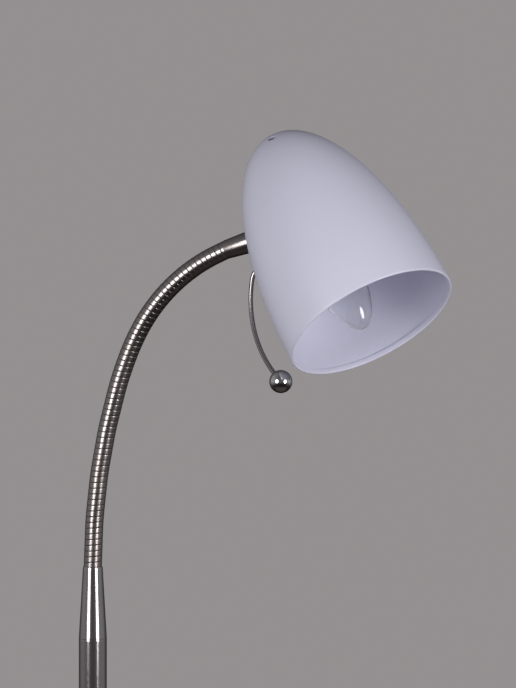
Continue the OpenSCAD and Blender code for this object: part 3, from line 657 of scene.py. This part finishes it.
thread_end = extent("neck_sleeve", in_sleeve)[1][2]
plain_end = SLEEVE_LEN + PLAIN_LEN
cone = soften([[NECK_BORE / 2, end_gap], [SLEEVE_SMALL_R, end_gap], [SLEEVE_LARGE_R, SLEEVE_LEN],
               [THREAD_R, SLEEVE_LEN], [THREAD_R, plain_end], [NECK_BORE / 2, plain_end]], SLEEVE_EDGE)
turned_piece("sleeve", cone, in_sleeve, wound_nickel, "head", ["neck_sleeve"])
thread = (plain_end, thread_end, THREAD_R, THREAD_PITCH, THREAD_DEPTH, NECK_BORE / 2)
screw_piece("sleeve_thread", in_sleeve, thread, satin_nickel, "head")
print("sleeve", SLEEVE_LEN, "mm long, thread ends at", round(thread_end, 2), "mm")

# %% Nuts and washer
NUT_COLUMNS, NUT_ROWS, NUT_SLOPE, NUT_FACE, NUT_CUT = 96, 7, 1.7, 0.97, 0.16
NUT_ACROSS, HANDLE_NUT_ACROSS, HANDLE_NUT_H, WIRE_R = 14.0, 6.6, 2.4, 1.6
WASHER_R, WASHER_EDGE = 8.0, 0.2


def nut_piece(name, frame_at, z0, z1, across, bore, nodes=()):
    """Hexagon with radius min(flat / cos(angle from the flat's middle), cone from the nearer end)."""
    t = np.linspace(0, 2 * np.pi, NUT_COLUMNS, endpoint=False)
    flats = across / 2 / np.cos(np.mod(t, np.pi / 3) - np.pi / 6)
    rise = np.linspace(0, NUT_CUT * across / 2 / NUT_SLOPE, NUT_ROWS)
    z = np.r_[z0 + rise, z1 - rise[::-1]]
    cone = across / 2 * NUT_FACE + NUT_SLOPE * np.minimum(z - z0, z1 - z)
    r = np.minimum(flats, cone[:, None])
    side = np.stack([r * np.cos(t), r * np.sin(t), z[:, None] + 0 * t], -1)
    hole = revolve([[bore + EDGE, z1], [bore, z1 - EDGE], [bore, z0 + EDGE], [bore + EDGE, z0]], NUT_COLUMNS)
    grid = np.concatenate([side, hole])
    faces = grid_faces(len(grid), NUT_COLUMNS, wrap_rows=True)
    return make_piece(name, placed(grid, frame_at), faces, zinc_plate, "head", nodes)


def on_wall(z, angle):
    """Frame on the shade's wall at a height and an angle, with +Z square out of the wall."""
    at = shifted(turned(in_shade, turn_z(angle)), (float(wall_radius(z)), 0, z))
    return turned(at, turn_y(math.pi / 2 - wall_lean(z)))


at_handle = on_wall(HANDLE_HOLE_Z, math.pi + HANDLE_TURN)
for name, place in [("neck_nut", in_sleeve), ("holder_nut", on_bulb)]:
    low, high = extent(name, place)
    nut_piece(name + "_cut", place, low[2], high[2], NUT_ACROSS, THREAD_R + FIT, [name])
low, high = extent("handle_nuts", at_handle)
nut_piece("handle_nut_outside", at_handle, high[2] - HANDLE_NUT_H, high[2], HANDLE_NUT_ACROSS, WIRE_R + FIT,
          ["handle_nuts"])
nut_piece("handle_nut_inside", at_handle, low[2], low[2] + HANDLE_NUT_H, HANDLE_NUT_ACROSS, WIRE_R + FIT)
low, high = extent("neck_washer", in_sleeve)
ring = soften([[THREAD_R + EASY_FIT, low[2]], [WASHER_R, low[2]], [WASHER_R, high[2]],
               [THREAD_R + EASY_FIT, high[2]]], WASHER_EDGE)
turned_piece("neck_washer_punched", ring, in_sleeve, zinc_plate, "head", ["neck_washer"])
print("washer from", low[2].round(2), "to", high[2].round(2), "mm along the sleeve")

# %% [markdown]
# ## A sheet with round holes
# The shade and the base cover are thin sheets with holes in them. A Boolean could cut the holes, but
# it often leaves slivers. Here a small block of the grid's cells is taken out round each
# hole, and rings of new cells lead from the block's square edge to the hole's circle. All of it is
# worked out in two numbers, the distance along the profile and the angle, so every new point still
# lies on the sheet.

# %% Punched sheet
HOLE_RINGS, FINE_STEPS = 3, 4000


class Wall:
    """One side of a turned sheet: a profile measured by arc length, and how finely it is divided."""

    def __init__(self, profile, rows, columns):
        self.profile = np.asarray(profile, float)
        self.length = np.r_[0, np.cumsum(np.linalg.norm(np.diff(self.profile, axis=0), axis=1))]
        self.u = np.linspace(0, self.length[-1], rows)
        self.columns = columns

    def radius(self, u):
        """Radius of the profile at arc length u."""
        return np.interp(u, self.length, self.profile[:, 0])

    def at(self, u, t):
        """Points at arc length u and angle t: the profile's radius and height, turned by t."""
        r = self.radius(u)
        return np.stack([r * np.cos(t), r * np.sin(t), np.interp(u, self.length, self.profile[:, 1])], -1)

    def nearest(self, place):
        """Arc length of the profile point nearest to a (radius, height)."""
        fine = np.linspace(0, self.length[-1], FINE_STEPS)
        points = self.at(fine, 0 * fine)[:, [0, 2]]
        return fine[np.argmin(np.linalg.norm(points - place, axis=1))]


def strip(first, second):
    """Quads between two closed loops of vertex numbers."""
    return np.stack([first, np.roll(first, -1), np.roll(second, -1), second], 1)


def punch(wall, holes, blocks):
    """Points and quads of a wall with holes of (arc length, angle, radius), and each hole's rim."""
    rows, columns = len(wall.u), wall.columns
    step = 2 * np.pi / columns
    u_grid, t_grid = np.meshgrid(wall.u, np.arange(columns) * step, indexing="ij")
    points = [wall.at(u_grid, t_grid).reshape(-1, 3)]
    keep = np.ones((rows - 1, columns), bool)
    rings, rims, count = [], [], rows * columns
    for (u, angle, radius), (a, b) in zip(holes, blocks):
        j, i = int(np.argmin(abs(wall.u - u))), round(angle / step)
        keep[j - a:j + a, np.arange(i - b, i + b) % columns] = False
        half = np.r_[np.c_[np.full(2 * b, -a), np.arange(-b, b)], np.c_[np.arange(-a, a), np.full(2 * a, b)]]
        loop = np.r_[half, -half] + (j, i)
        edge_u, edge_t = wall.u[loop[:, 0]], loop[:, 1] * step
        around = np.arctan2(edge_u - u, (edge_t - angle) * wall.radius(u))
        hole_u = u + radius * np.sin(around)
        hole_t = angle + radius * np.cos(around) / wall.radius(hole_u)
        rim = loop[:, 0] * columns + loop[:, 1] % columns
        for share in np.linspace(0, 1, HOLE_RINGS + 1)[1:]:
            ring = count + np.arange(len(loop))
            points.append(wall.at(edge_u + share * (hole_u - edge_u), edge_t + share * (hole_t - edge_t)))
            rings.append(strip(rim, ring))
            rim, count = ring, count + len(loop)
        rims.append(rim)
    return np.concatenate(points), np.concatenate([grid_faces(rows, columns)[keep.ravel()], *rings]), rims


def punched_sheet(outside, inside, holes, hem, margin):
    """Closed sheet: two punched walls, the hem between their first rows and a lining in each hole."""
    outer_holes = [(outside.nearest(place), angle, radius) for place, _, angle, radius in holes]
    inner_holes = [(inside.nearest(place), angle, radius) for _, place, angle, radius in holes]
    blocks = []
    for u, _, radius in outer_holes:
        cells = (outside.u[1], outside.radius(u) * 2 * math.pi / outside.columns)
        blocks.append([math.ceil(margin * radius / cell) for cell in cells])
    p, p_faces, rims = punch(outside, outer_holes, blocks)
    q, q_faces, inner_rims = punch(inside, inner_holes, blocks)
    hem_grid = revolve(hem, outside.columns)
    row = np.arange(outside.columns)
    loops = [len(p) + row, *(len(p) + len(q) + k * len(row) + row for k in range(len(hem))), row]
    faces = [p_faces, q_faces[:, ::-1] + len(p)] + [strip(a, b) for a, b in zip(loops[:-1], loops[1:])]
    faces += [strip(a, b + len(p)) for a, b in zip(rims, inner_rims)]
    if outside.profile[-1, 0] > 0:
        last = (len(outside.u) - 1) * len(row) + row
        faces.append(strip(last, last + len(p)))
    return np.concatenate([p, q, hem_grid.reshape(-1, 3)]), np.concatenate(faces)


print("a hole is ringed by", HOLE_RINGS, "loops of cells")

# %% [markdown]
# ## The shade
# The shade is spun from thin sheet, 120 mm across the mouth, with a hem rolled inwards round it and
# small vents in the crown. The hem is a bead about 4 mm high whose upper edge throws a thin shadow
# line on the inner wall. The neck's thread and the handle pass through two more holes. Both walls are
# worked out, and not one wall with a Solidify modifier, because the hem has to join them.

# %% Shade
HEM_H, HEM_T, HEM_CURL, HEM_LINE, HEM_TUCK = 3.8, 1.9, 0.45, 0.5, 0.1
PROFILE_STEPS, BEAD_STEPS, CURL_STEPS = 600, 17, 6
VENT_RING_R, VENT_R, VENT_TURN, VENTS = 24.5, 3.0, math.radians(12), 4
SHADE_ROWS, SHADE_COLUMNS, SHADE_MARGIN = 132, 240, 1.9


def bullet_profile(radius, height, z0):
    """Profile from height z0 to the crown, with points bunched towards the crown."""
    z = z0 + (height - z0) * np.sin(np.linspace(0, np.pi / 2, PROFILE_STEPS))
    return np.c_[wall_radius(z, radius, height), z]


def wall_hole(z, angle, radius):
    """A hole square to the wall: its place outside and inside, its angle and its radius."""
    lean, r = wall_lean(z), float(wall_radius(z))
    return (r, z), (r - SHEET * math.cos(lean), z - SHEET * math.sin(lean)), angle, radius


roll = HEM_T / 2
outside = Wall(bullet_profile(SHADE_R, SHADE_H, roll), SHADE_ROWS, SHADE_COLUMNS)
inside = Wall(bullet_profile(SHADE_R - SHEET, SHADE_H - SHEET, HEM_H), SHADE_ROWS, SHADE_COLUMNS)
vent_z = SHADE_H * (1 - (VENT_RING_R / SHADE_R) ** BLUNT) ** (1 / FLANK)
holes = [wall_hole(NECK_HOLE_Z, math.pi, THREAD_R + EASY_FIT),
         wall_hole(HANDLE_HOLE_Z, math.pi + HANDLE_TURN, WIRE_R + EASY_FIT)]
holes += [wall_hole(vent_z, VENT_TURN + 2 * math.pi * k / VENTS, VENT_R) for k in range(VENTS)]
half_turn = np.linspace(np.pi, 2 * np.pi, BEAD_STEPS)[1:-1]
bead = np.c_[SHADE_R - roll + roll * np.cos(half_turn), roll + roll * np.sin(half_turn)]
curl_turn = np.linspace(0, np.pi / 2, CURL_STEPS)
hem_edge = SHADE_R - HEM_T
curl = np.c_[hem_edge + HEM_CURL * (1 - np.sin(curl_turn)), HEM_H - HEM_CURL * (1 - np.cos(curl_turn))]
hem = np.r_[[[inside.profile[0, 0] - HEM_TUCK, HEM_H - HEM_LINE]], curl, [[hem_edge, roll]], bead]
points, faces = punched_sheet(outside, inside, holes, hem, SHADE_MARGIN)
shade = make_piece("shade_spun", placed(points, in_shade), faces, white_lacquer, "head", ["shade"])
print("shade", len(shade.data.polygons), "faces, vents at height", round(vent_z, 1), "mm")

# %% [markdown]
# ## The bulb
# A clear candle bulb, 35 mm across. Only a thin wall of glass bends the light, so the piece is a
# shell with an outside and an inside. Its outline is a pointed oval that falls smoothly to the neck.
# In its middle a glass stem holds a fine coil on two support wires.

# %% Bulb glass and stem
BULB_R, GLASS_LEN, GLASS_WALL = 17.5, 78.0, 0.7
GLASS_BELLY, TIP_POWER, CAP_OVERLAP = 40.0, 1.57, 4.0
CAP_R, CAP_WALL = 6.95, 0.35
STEM_R, STEM_LEN, STEM_FLARE, STEM_ROUND = 2.5, 26.0, 5.0, 1.0
GLASS_ROWS, TIP_BUNCH, GLASS_COLUMNS, STEM_COLUMNS = 97, 1.6, 96, 48
glass_neck_r = CAP_R - CAP_WALL - EASY_FIT


def glass_radius(x, radius, neck):
    """Radius at a distance from the tip: an oval power curve, then half a cosine down to the neck."""
    oval = radius * np.sqrt(1 - np.clip(1 - x / GLASS_BELLY, 0, 1) ** TIP_POWER)
    fall = np.clip((x - GLASS_BELLY) / (GLASS_LEN - CAP_OVERLAP - GLASS_BELLY), 0, 1)
    return np.where(x < GLASS_BELLY, oval, neck + (radius - neck) * (1 + np.cos(np.pi * fall)) / 2)


x = GLASS_LEN * np.linspace(0, 1, GLASS_ROWS) ** TIP_BUNCH
glass_out = np.c_[glass_radius(x, BULB_R, glass_neck_r), x]
glass_in = np.c_[glass_radius(x, BULB_R - GLASS_WALL, glass_neck_r - GLASS_WALL),
                 GLASS_WALL + x * (1 - GLASS_WALL / GLASS_LEN)]
turned_piece("bulb_glass_blown", np.r_[glass_out, glass_in[::-1]], on_bulb, clear_glass, "head",
             ["bulb_glass"], closed=False, columns=GLASS_COLUMNS)
stem = [[0, -STEM_LEN], [STEM_R / 2, -STEM_LEN], [STEM_R, -STEM_LEN + STEM_R], [STEM_R, -STEM_FLARE],
        [glass_neck_r - GLASS_WALL - EASY_FIT, 0], [0, 0]]
turned_piece("bulb_stem_pressed", soften(stem, STEM_ROUND, closed=False), shifted(on_bulb, (0, 0, GLASS_LEN)),
             clear_glass, "head", ["bulb_stem"], closed=False, columns=STEM_COLUMNS)
print("glass", GLASS_LEN, "mm long")

# %% Filament
SPAN, RISE, SUPPORT_R, COIL_R, COIL_WIRE_R, COIL_TURNS = 9.0, 12.0, 0.22, 0.34, 0.06, 46
COIL_SIDES, COIL_STEPS, SUPPORT_SIDES = 8, 14, 12
KNEE_DROP, KNEE_IN, BAR_DROP, MIDDLE_DROP = 1.5, 0.6, 0.5, 0.3
filament_top = GLASS_LEN - STEM_LEN - FIT


def swept(path, across_hint, radius, columns):
    """Closed tube of constant radius along a path, with a point in the middle of each end."""
    way = unit(np.gradient(path, axis=0))
    across = unit(np.cross(across_hint, way))
    ends = np.r_[0, np.arange(len(path)), len(path) - 1]
    r = np.r_[0, np.full(len(path), radius), 0]
    return tube_grid(path[ends], across[ends], np.cross(way, across)[ends], r, columns)


turn = np.linspace(0, np.pi, COIL_TURNS * COIL_STEPS)
wind = np.linspace(0, 2 * np.pi * COIL_TURNS, COIL_TURNS * COIL_STEPS)
out = np.c_[np.cos(turn), 0 * turn, -np.sin(turn)]
coil = out * (SPAN / 2 + COIL_R * np.cos(wind))[:, None] + SIDE * COIL_R * np.sin(wind)[:, None]
coil[:, 2] += filament_top - RISE
grid = swept(coil, SIDE, COIL_WIRE_R, COIL_SIDES)
make_piece("filament_coil", placed(grid, on_bulb), grid_faces(len(grid), COIL_SIDES), filament, "head",
           ["bulb_filament"])
bar = np.array([[SPAN / 2, 0, filament_top - RISE], [SPAN / 2, 0, filament_top - KNEE_DROP],
                [SPAN / 2 - KNEE_IN, 0, filament_top - BAR_DROP], [0, 0, filament_top - MIDDLE_DROP]])
for side, name in ((1, "support_right"), (-1, "support_left")):
    grid = swept(bar * (side, 1, 1), SIDE, SUPPORT_R, SUPPORT_SIDES)
    faces = grid_faces(len(grid), SUPPORT_SIDES)
    make_piece("filament_" + name, placed(grid, on_bulb), faces, filament, "head")
print("coil of", COIL_TURNS, "turns")

# %% [markdown]
# ## The lampholder
# The holder is two mouldings, a body with a skirt and a domed cap, on a short threaded tube. Two
# leads come out of the sleeve's thread, pass beside the bracket, and go down into the tube. Their
# path is two cubic curves end to end, and each lead is a ring carried along it.

# %% Holder body and cap
HOLDER_R, HOLDER_WALL, HOLDER_BORE = 13.0, 2.0, 7.95
CAP_TOP_R, CAP_RIM, CAP_DOME = 8.5, 3.0, 11.0
FLOOR_T, NIPPLE_WALL, MOULDED_EDGE = 4.5, 1.5, 0.5
low, high = (corner[2] for corner in extent("holder_body", on_bulb))
body = soften([[0, high - FLOOR_T], [HOLDER_BORE, high - FLOOR_T], [HOLDER_BORE, low], [HOLDER_R, low],
               [HOLDER_R, high], [0, high]], MOULDED_EDGE, closed=False)
turned_piece("holder_body_moulded", body, on_bulb, holder_moulding, "head", ["holder_body"], closed=False)
dome = np.c_[CAP_TOP_R + (HOLDER_R - CAP_TOP_R) * np.cos(quarter), CAP_RIM + CAP_DOME * np.sin(quarter)]
hollow = np.c_[dome[:, 0] - HOLDER_WALL, CAP_RIM + (CAP_DOME - HOLDER_WALL) * np.sin(quarter)]
cap_top, cap_bore = CAP_RIM + CAP_DOME, THREAD_R + FIT
cap = np.r_[[[HOLDER_R - HOLDER_WALL, 0], [HOLDER_R - EDGE, 0], [HOLDER_R, EDGE]], dome,
            [[cap_bore, cap_top], [cap_bore, cap_top - HOLDER_WALL]], hollow[::-1]]
cap_z = extent("holder_cap", on_bulb)[0][2]
on_cap = shifted(on_bulb, (0, 0, cap_z))
turned_piece("holder_cap_moulded", cap, on_cap, holder_moulding, "head", ["holder_cap"])
low, high = (corner[2] for corner in extent("holder_nipple", on_bulb))
thread = (low, high, THREAD_R, THREAD_PITCH, THREAD_DEPTH, THREAD_R - NIPPLE_WALL)
screw_piece("holder_nipple_cut", on_bulb, thread, zinc_plate, "head", ["holder_nipple"])
print("holder", HOLDER_R * 2, "mm across, cap at", cap_z.round(2), "mm")

# %% Leads
LEAD_R, LEAD_IN, LEAD_REACH, LEAD_LOOP, LEAD_TURN = 1.1, 3.0, 12.0, 26.0, 9.0
LEAD_GAP, LEAD_CLEAR, LEAD_SIDES, CURVE_STEPS = 0.2, 4, 24, 40
BRACKET_W, BRACKET_T = 14.0, 1.5
LEAD_ACROSS = np.array([0.31, 0.92, 0.24])


def bezier(a, b, c, d):
    """Cubic curve from a to d that leaves towards b and arrives from c."""
    t = np.linspace(0, 1, CURVE_STEPS)[:, None]
    return (1 - t) ** 3 * a + 3 * t * (1 - t) ** 2 * b + 3 * t**2 * (1 - t) * c + t**3 * d


into = np.array([math.cos(neck_lean), 0, -math.sin(neck_lean)])
apart = np.array([0, LEAD_R + LEAD_GAP, 0])
seat_z = extent("holder_bracket", in_shade)[1][2] - BRACKET_T
end_at = np.array([-neck_hole_r, 0, NECK_HOLE_Z]) + (thread_end - SLEEVE_LEN) * into
lead_from = end_at - LEAD_IN * into + apart
lead_side = np.array([(end_at[0] - BULB_OFFSET - HOLDER_R) / 2, BRACKET_W / 2 + LEAD_CLEAR * LEAD_R,
                      (end_at[2] + seat_z) / 2])
lead_to = np.array([-BULB_OFFSET, 0, seat_z + LEAD_IN]) + apart
over = np.array([0, 0, LEAD_LOOP])
route = np.r_[bezier(lead_from, lead_from + LEAD_REACH * into, lead_side - [0, 0, LEAD_TURN], lead_side),
              bezier(lead_side, lead_side + over, lead_to + over, lead_to)[1:]]
for side, name in ((1, "lead_right"), (-1, "lead_left")):
    grid = swept(route * (1, side, 1), LEAD_ACROSS * (1, side, 1), LEAD_R, LEAD_SIDES)
    make_piece(name, placed(grid, in_shade), grid_faces(len(grid), LEAD_SIDES), lead_insulation, "head",
               ["head_leads"] if side > 0 else [])
print("leads of", len(route), "points")

# %% [markdown]
# ## Handle
# A nickelled wire leaves the shade square to its wall, turns down in a bend, swings out in a long
# bow and ends in a chromed ball. The path is a straight line and two arcs in one plane; the wire is
# a ring of constant radius carried along it. A curve object with a bevel could be used, but one
# helper already makes wire, coil and leads. The ball is a sphere with a bore for the wire's end.

# %% Handle path
BEND_R, BOW_R, BOW_GAP, BOW_END_Z, BALL_R, STUB_SPARE = 11.0, 80.0, 25.0, 17.0, 8.0, 0.6
BEND_STEPS, BOW_STEPS, WIRE_SIDES, BALL_ROWS, BALL_COLUMNS = 60, 320, 32, 64, 96


def arc(centre, radius, start, end, steps):
    """Points of an arc: centre + radius (cos a, sin a) for evenly spaced angles a."""
    a = np.linspace(start, end, steps)
    return np.asarray(centre) + radius * np.c_[np.cos(a), np.sin(a)]


handle_lean, handle_r = wall_lean(HANDLE_HOLE_Z), float(wall_radius(HANDLE_HOLE_Z))
square_out = np.array([math.cos(handle_lean), math.sin(handle_lean)])
stub_in = -extent("handle_nuts", at_handle)[0][2] + STUB_SPARE
stub_out = HANDLE_NUT_H + STUB_SPARE
wall_point = np.array([handle_r, HANDLE_HOLE_Z])
bend_at = wall_point + stub_out * square_out + BEND_R * np.array([square_out[1], -square_out[0]])
bow_x = SHADE_R + BOW_GAP - BOW_R
bow_z = bend_at[1] - math.sqrt((BOW_R - BEND_R) ** 2 - (bend_at[0] - bow_x) ** 2)
bow_top = math.atan2(bend_at[1] - bow_z, bend_at[0] - bow_x)
bow_low = math.asin((BOW_END_Z - bow_z) / BOW_R)
bow_way = np.array([math.sin(bow_low), -math.cos(bow_low)])
bow_end = np.array([bow_x, bow_z]) + BOW_R * np.array([math.cos(bow_low), math.sin(bow_low)])
bend = arc(bend_at, BEND_R, math.pi / 2 + handle_lean, bow_top, BEND_STEPS)
bow = arc((bow_x, bow_z), BOW_R, bow_top, bow_low, BOW_STEPS)
wire_end = bow_end + (BALL_R + STUB_SPARE - FIT) * bow_way
line = np.r_[[wall_point - stub_in * square_out], bend, bow[1:], [wire_end]]
print("bow from", round(math.degrees(bow_top), 1), "to", round(math.degrees(bow_low), 1), "degrees")

# %% Handle wire and ball
wire_path = np.c_[-line[:, 0], 0 * line[:, 0], line[:, 1]]
grid = swept(wire_path, SIDE, WIRE_R, WIRE_SIDES)
faces = grid_faces(len(grid), WIRE_SIDES)
make_piece("handle_wire_bent", placed(grid, in_handle), faces, satin_nickel, "head", ["handle_wire"])
ball_at = bow_end + BALL_R * bow_way
ball_lean = math.atan2(bow_way[0], -bow_way[1])
in_ball = turned(shifted(in_handle, (-ball_at[0], 0, ball_at[1])), turn_y(ball_lean))
bore_r = WIRE_R + FIT
polar = np.linspace(-np.pi / 2, math.acos(bore_r / BALL_R), BALL_ROWS)
ball = np.r_[np.c_[BALL_R * np.cos(polar), BALL_R * np.sin(polar)], [[bore_r, -STUB_SPARE], [0, -STUB_SPARE]]]
ball[0, 0] = 0
turned_piece("handle_ball_turned", ball, in_ball, polished_chrome, "head", ["handle_ball"], closed=False,
             columns=BALL_COLUMNS)
print("ball at", ball_at.round(2), "mm in the handle's plane")

# %% [markdown]
# ## The base
# The base is a pressed cover over a cast weight, on a soft pad. Its top is a very flat dome that
# rounds over into an upright rim, and a rubber bush lines the hole where a lead would enter.

# %% Base cover
BASE_R, SHOULDER_Z, BASE_ROUND, COVER_T, RIM_Z = 115.0, 18.0, 5.0, 1.2, 1.2
INLET_Z, BUSH_R, INLET_R, ROD_HOLE_R = 8.2, 4.25, 3.25, 5.15
BASE_ROWS, BASE_COLUMNS, BASE_MARGIN = 104, 360, 1.4
DOME_STEPS, ROUND_STEPS = 120, 30


def cover_profile(inset):
    """Rim, quarter round and flat dome, from the bottom edge up to the rod's hole."""
    flat_r = np.linspace(BASE_R - BASE_ROUND, ROD_HOLE_R, DOME_STEPS)
    dome = np.c_[flat_r, BASE_H - inset - (BASE_H - SHOULDER_Z) * (flat_r / (BASE_R - BASE_ROUND)) ** 2]
    round_at = (BASE_R - BASE_ROUND, SHOULDER_Z - BASE_ROUND)
    over = arc(round_at, BASE_ROUND - inset, 0, math.pi / 2, ROUND_STEPS)
    return np.r_[[[BASE_R - inset, RIM_Z + EDGE]], over, dome[1:]]


inlet = [((BASE_R, INLET_Z), (BASE_R - COVER_T, INLET_Z), math.pi, BUSH_R + FIT)]
edge = [[BASE_R - COVER_T + EDGE, RIM_Z], [BASE_R - EDGE, RIM_Z]]
cover_walls = [Wall(cover_profile(inset), BASE_ROWS, BASE_COLUMNS) for inset in (0, COVER_T)]
points, faces = punched_sheet(*cover_walls, inlet, edge, BASE_MARGIN)
make_piece("base_cover_pressed", placed(points, in_world), faces, satin_nickel, "stand", ["base_cover"])
print("base", 2 * BASE_R, "mm across")

# %% Pad and bush
PAD_R, PAD_T, FLANGE_R, FLANGE_T, BUSH_LEN, RUBBER_EDGE = 112.3, 3.0, 5.75, 1.6, 5.0, 0.6
PAD_COLUMNS, BUSH_COLUMNS = 240, 64
pad = soften([[0, 0], [PAD_R, 0], [PAD_R, PAD_T], [0, PAD_T]], RUBBER_EDGE, closed=False)
turned_piece("base_pad_cut", pad, in_world, black_rubber, "stand", ["base_pad"], closed=False,
             columns=PAD_COLUMNS)
bush = soften([[INLET_R, 0], [FLANGE_R, 0], [FLANGE_R, FLANGE_T], [BUSH_R, FLANGE_T],
               [BUSH_R, FLANGE_T + BUSH_LEN], [INLET_R, FLANGE_T + BUSH_LEN]], RUBBER_EDGE)
in_bush = (turn_y(math.pi / 2), np.array([-BASE_R - FLANGE_T, 0, INLET_Z]))
turned_piece("cord_bush", bush, in_bush, black_rubber, "stand", ["cord_grommet"], columns=BUSH_COLUMNS)
print("pad", 2 * PAD_R, "mm across, bush passes", 2 * INLET_R, "mm")

# %% [markdown]
# ## Studio
# Two tall softboxes stand left and right of the camera at the height of the head, the right one a
# little lower: that is what the two bright strips on the ferrule and the two spots on the ball show.
# Behind the lamp hangs a plain grey backdrop. The room is brightest to the sides and darker above and
# below, so the world's light is a ramp along the line of sight times a ramp over the height. The
# floor is pale, lies far below the picture and fades into the backdrop.

# %% Softboxes
LIT_POINT = np.array([0.19, 0.0, 1.25])
BOX_AWAY, BOX_TURN, BOX_TALL = 1.3, math.radians(42), 0.72
BOXES = [("softbox_left", -1, 0.64, 0.0, 7.1), ("softbox_right", 1, 0.54, 0.05, 8.6)]
for name, side, wide, drop, watts in BOXES:
    way = math.cos(BOX_TURN) * view_toward + side * math.sin(BOX_TURN) * view_right
    light = bpy.data.lights.new(name, "AREA")
    light.shape = "ELLIPSE"
    light.size, light.size_y = wide, BOX_TALL
    light.energy = watts
    box = bpy.data.objects.new(name, light)
    box.location = LIT_POINT + BOX_AWAY * way - np.array([0, 0, drop])
    box.rotation_euler = (math.pi / 2, 0, math.atan2(way[0], -way[1]))
    box.visible_camera = False
    scene.collection.objects.link(box)
print("softboxes", BOX_TALL, "m tall at", BOX_AWAY, "m")

# %% Backdrop and room light
BACKDROP = (0.298, 0.281, 0.285, 1)
ROOM = [(0.0, (0.06, 0.06, 0.06)), (0.15, (0.10, 0.10, 0.10)), (0.35, (0.34, 0.335, 0.34)),
        (0.62, (0.36, 0.355, 0.36)), (0.82, (0.19, 0.18, 0.19)), (1.0, (0.12, 0.11, 0.12))]
SKY = [(0.0, (0.20, 0.165, 0.15)), (0.08, (0.18, 0.15, 0.13)), (0.16, (0.06, 0.05, 0.05)),
       (0.28, (0.12, 0.11, 0.11)), (0.42, (0.70, 0.69, 0.69)), (0.5, (1.0, 1.0, 1.0)),
       (0.7, (0.85, 0.85, 0.87)), (1.0, (0.30, 0.30, 0.32))]
world = bpy.data.worlds.new("studio")
scene.world = world
world.use_nodes = True
tree = world.node_tree
way = add_node(tree, "ShaderNodeTexCoord").outputs["Generated"]
ahead = add_node(tree, "ShaderNodeVectorMath", [(0, way), (1, view_toward)], operation="DOT_PRODUCT")
along = add_node(tree, "ShaderNodeMapRange", [("Value", ahead.outputs["Value"]), ("From Min", -1.0)])
room = add_node(tree, "ShaderNodeValToRGB", [("Fac", along.outputs["Result"])])
tilt = add_node(tree, "ShaderNodeMapRange", [
    ("Value", add_node(tree, "ShaderNodeSeparateXYZ", [(0, way)]).outputs["Z"]), ("From Min", -1.0)])
sky = add_node(tree, "ShaderNodeValToRGB", [("Fac", tilt.outputs["Result"])])
for ramp, stops in ((room, ROOM), (sky, SKY)):
    for element, (place, color) in zip(list(ramp.color_ramp.elements), (stops[0], stops[-1])):
        element.position, element.color = place, (*color, 1)
    for place, color in stops[1:-1]:
        ramp.color_ramp.elements.new(place).color = (*color, 1)
tinted = add_node(tree, "ShaderNodeMix", [(0, 1.0), (6, room.outputs["Color"]), (7, sky.outputs["Color"])],
                  data_type="RGBA", blend_type="MULTIPLY")
lit = add_node(tree, "ShaderNodeBackground", [("Color", tinted.outputs[2])])
plain = add_node(tree, "ShaderNodeBackground", [("Color", BACKDROP)])
rays = add_node(tree, "ShaderNodeLightPath")
seen = add_node(tree, "ShaderNodeMath", [
    (0, rays.outputs["Is Camera Ray"]), (1, rays.outputs["Is Transmission Ray"])], operation="MAXIMUM")
both = add_node(tree, "ShaderNodeMixShader", [
    (0, seen.outputs[0]), (1, lit.outputs["Background"]), (2, plain.outputs["Background"])])
tree.links.new(both.outputs["Shader"], tree.nodes["World Output"].inputs["Surface"])
print("backdrop", BACKDROP[:3])

# %% Floor
FLOOR_R, FLOOR_FADE, FLOOR_RINGS, FLOOR_COLUMNS = 2.6, 0.5, 8, 64
ring = np.linspace(0, FLOOR_R, FLOOR_RINGS)
grid = revolve(np.c_[ring[::-1], 0 * ring], FLOOR_COLUMNS)
floor_finish = new_finish("studio_floor", (0.80, 0.785, 0.775), (0.77, 0.755, 0.745), 2.5, 0.6, 0.75, peel=30,
                          height=0.0004)
floor = make_object("studio_floor", grid.reshape(-1, 3), grid_faces(len(grid), FLOOR_COLUMNS), floor_finish)
tree = floor_finish.node_tree
reach = add_node(tree, "ShaderNodeVectorMath", [
    (0, add_node(tree, "ShaderNodeTexCoord").outputs["Object"])], operation="LENGTH")
fade = add_node(tree, "ShaderNodeMapRange", [
    ("Value", reach.outputs["Value"]), ("From Min", FLOOR_FADE), ("From Max", FLOOR_R)],
    interpolation_type="SMOOTHSTEP")
clear = add_node(tree, "ShaderNodeBsdfTransparent")
painted = tree.nodes["Principled BSDF"]
mixed = add_node(tree, "ShaderNodeMixShader", [
    (0, fade.outputs["Result"]), (1, painted.outputs["BSDF"]), (2, clear.outputs["BSDF"])])
tree.links.new(mixed.outputs["Shader"], tree.nodes["Material Output"].inputs["Surface"])
floor.visible_glossy = False
floor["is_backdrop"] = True
print("floor", FLOOR_R, "m in radius")

# %% [markdown]
# ## Sizes
# The dressed lamp's size, without floor and backdrop, is printed at the end.

# %% Sizes and finish
low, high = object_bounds()
print("size", [round(b - a, 4) for a, b in zip(low, high)])
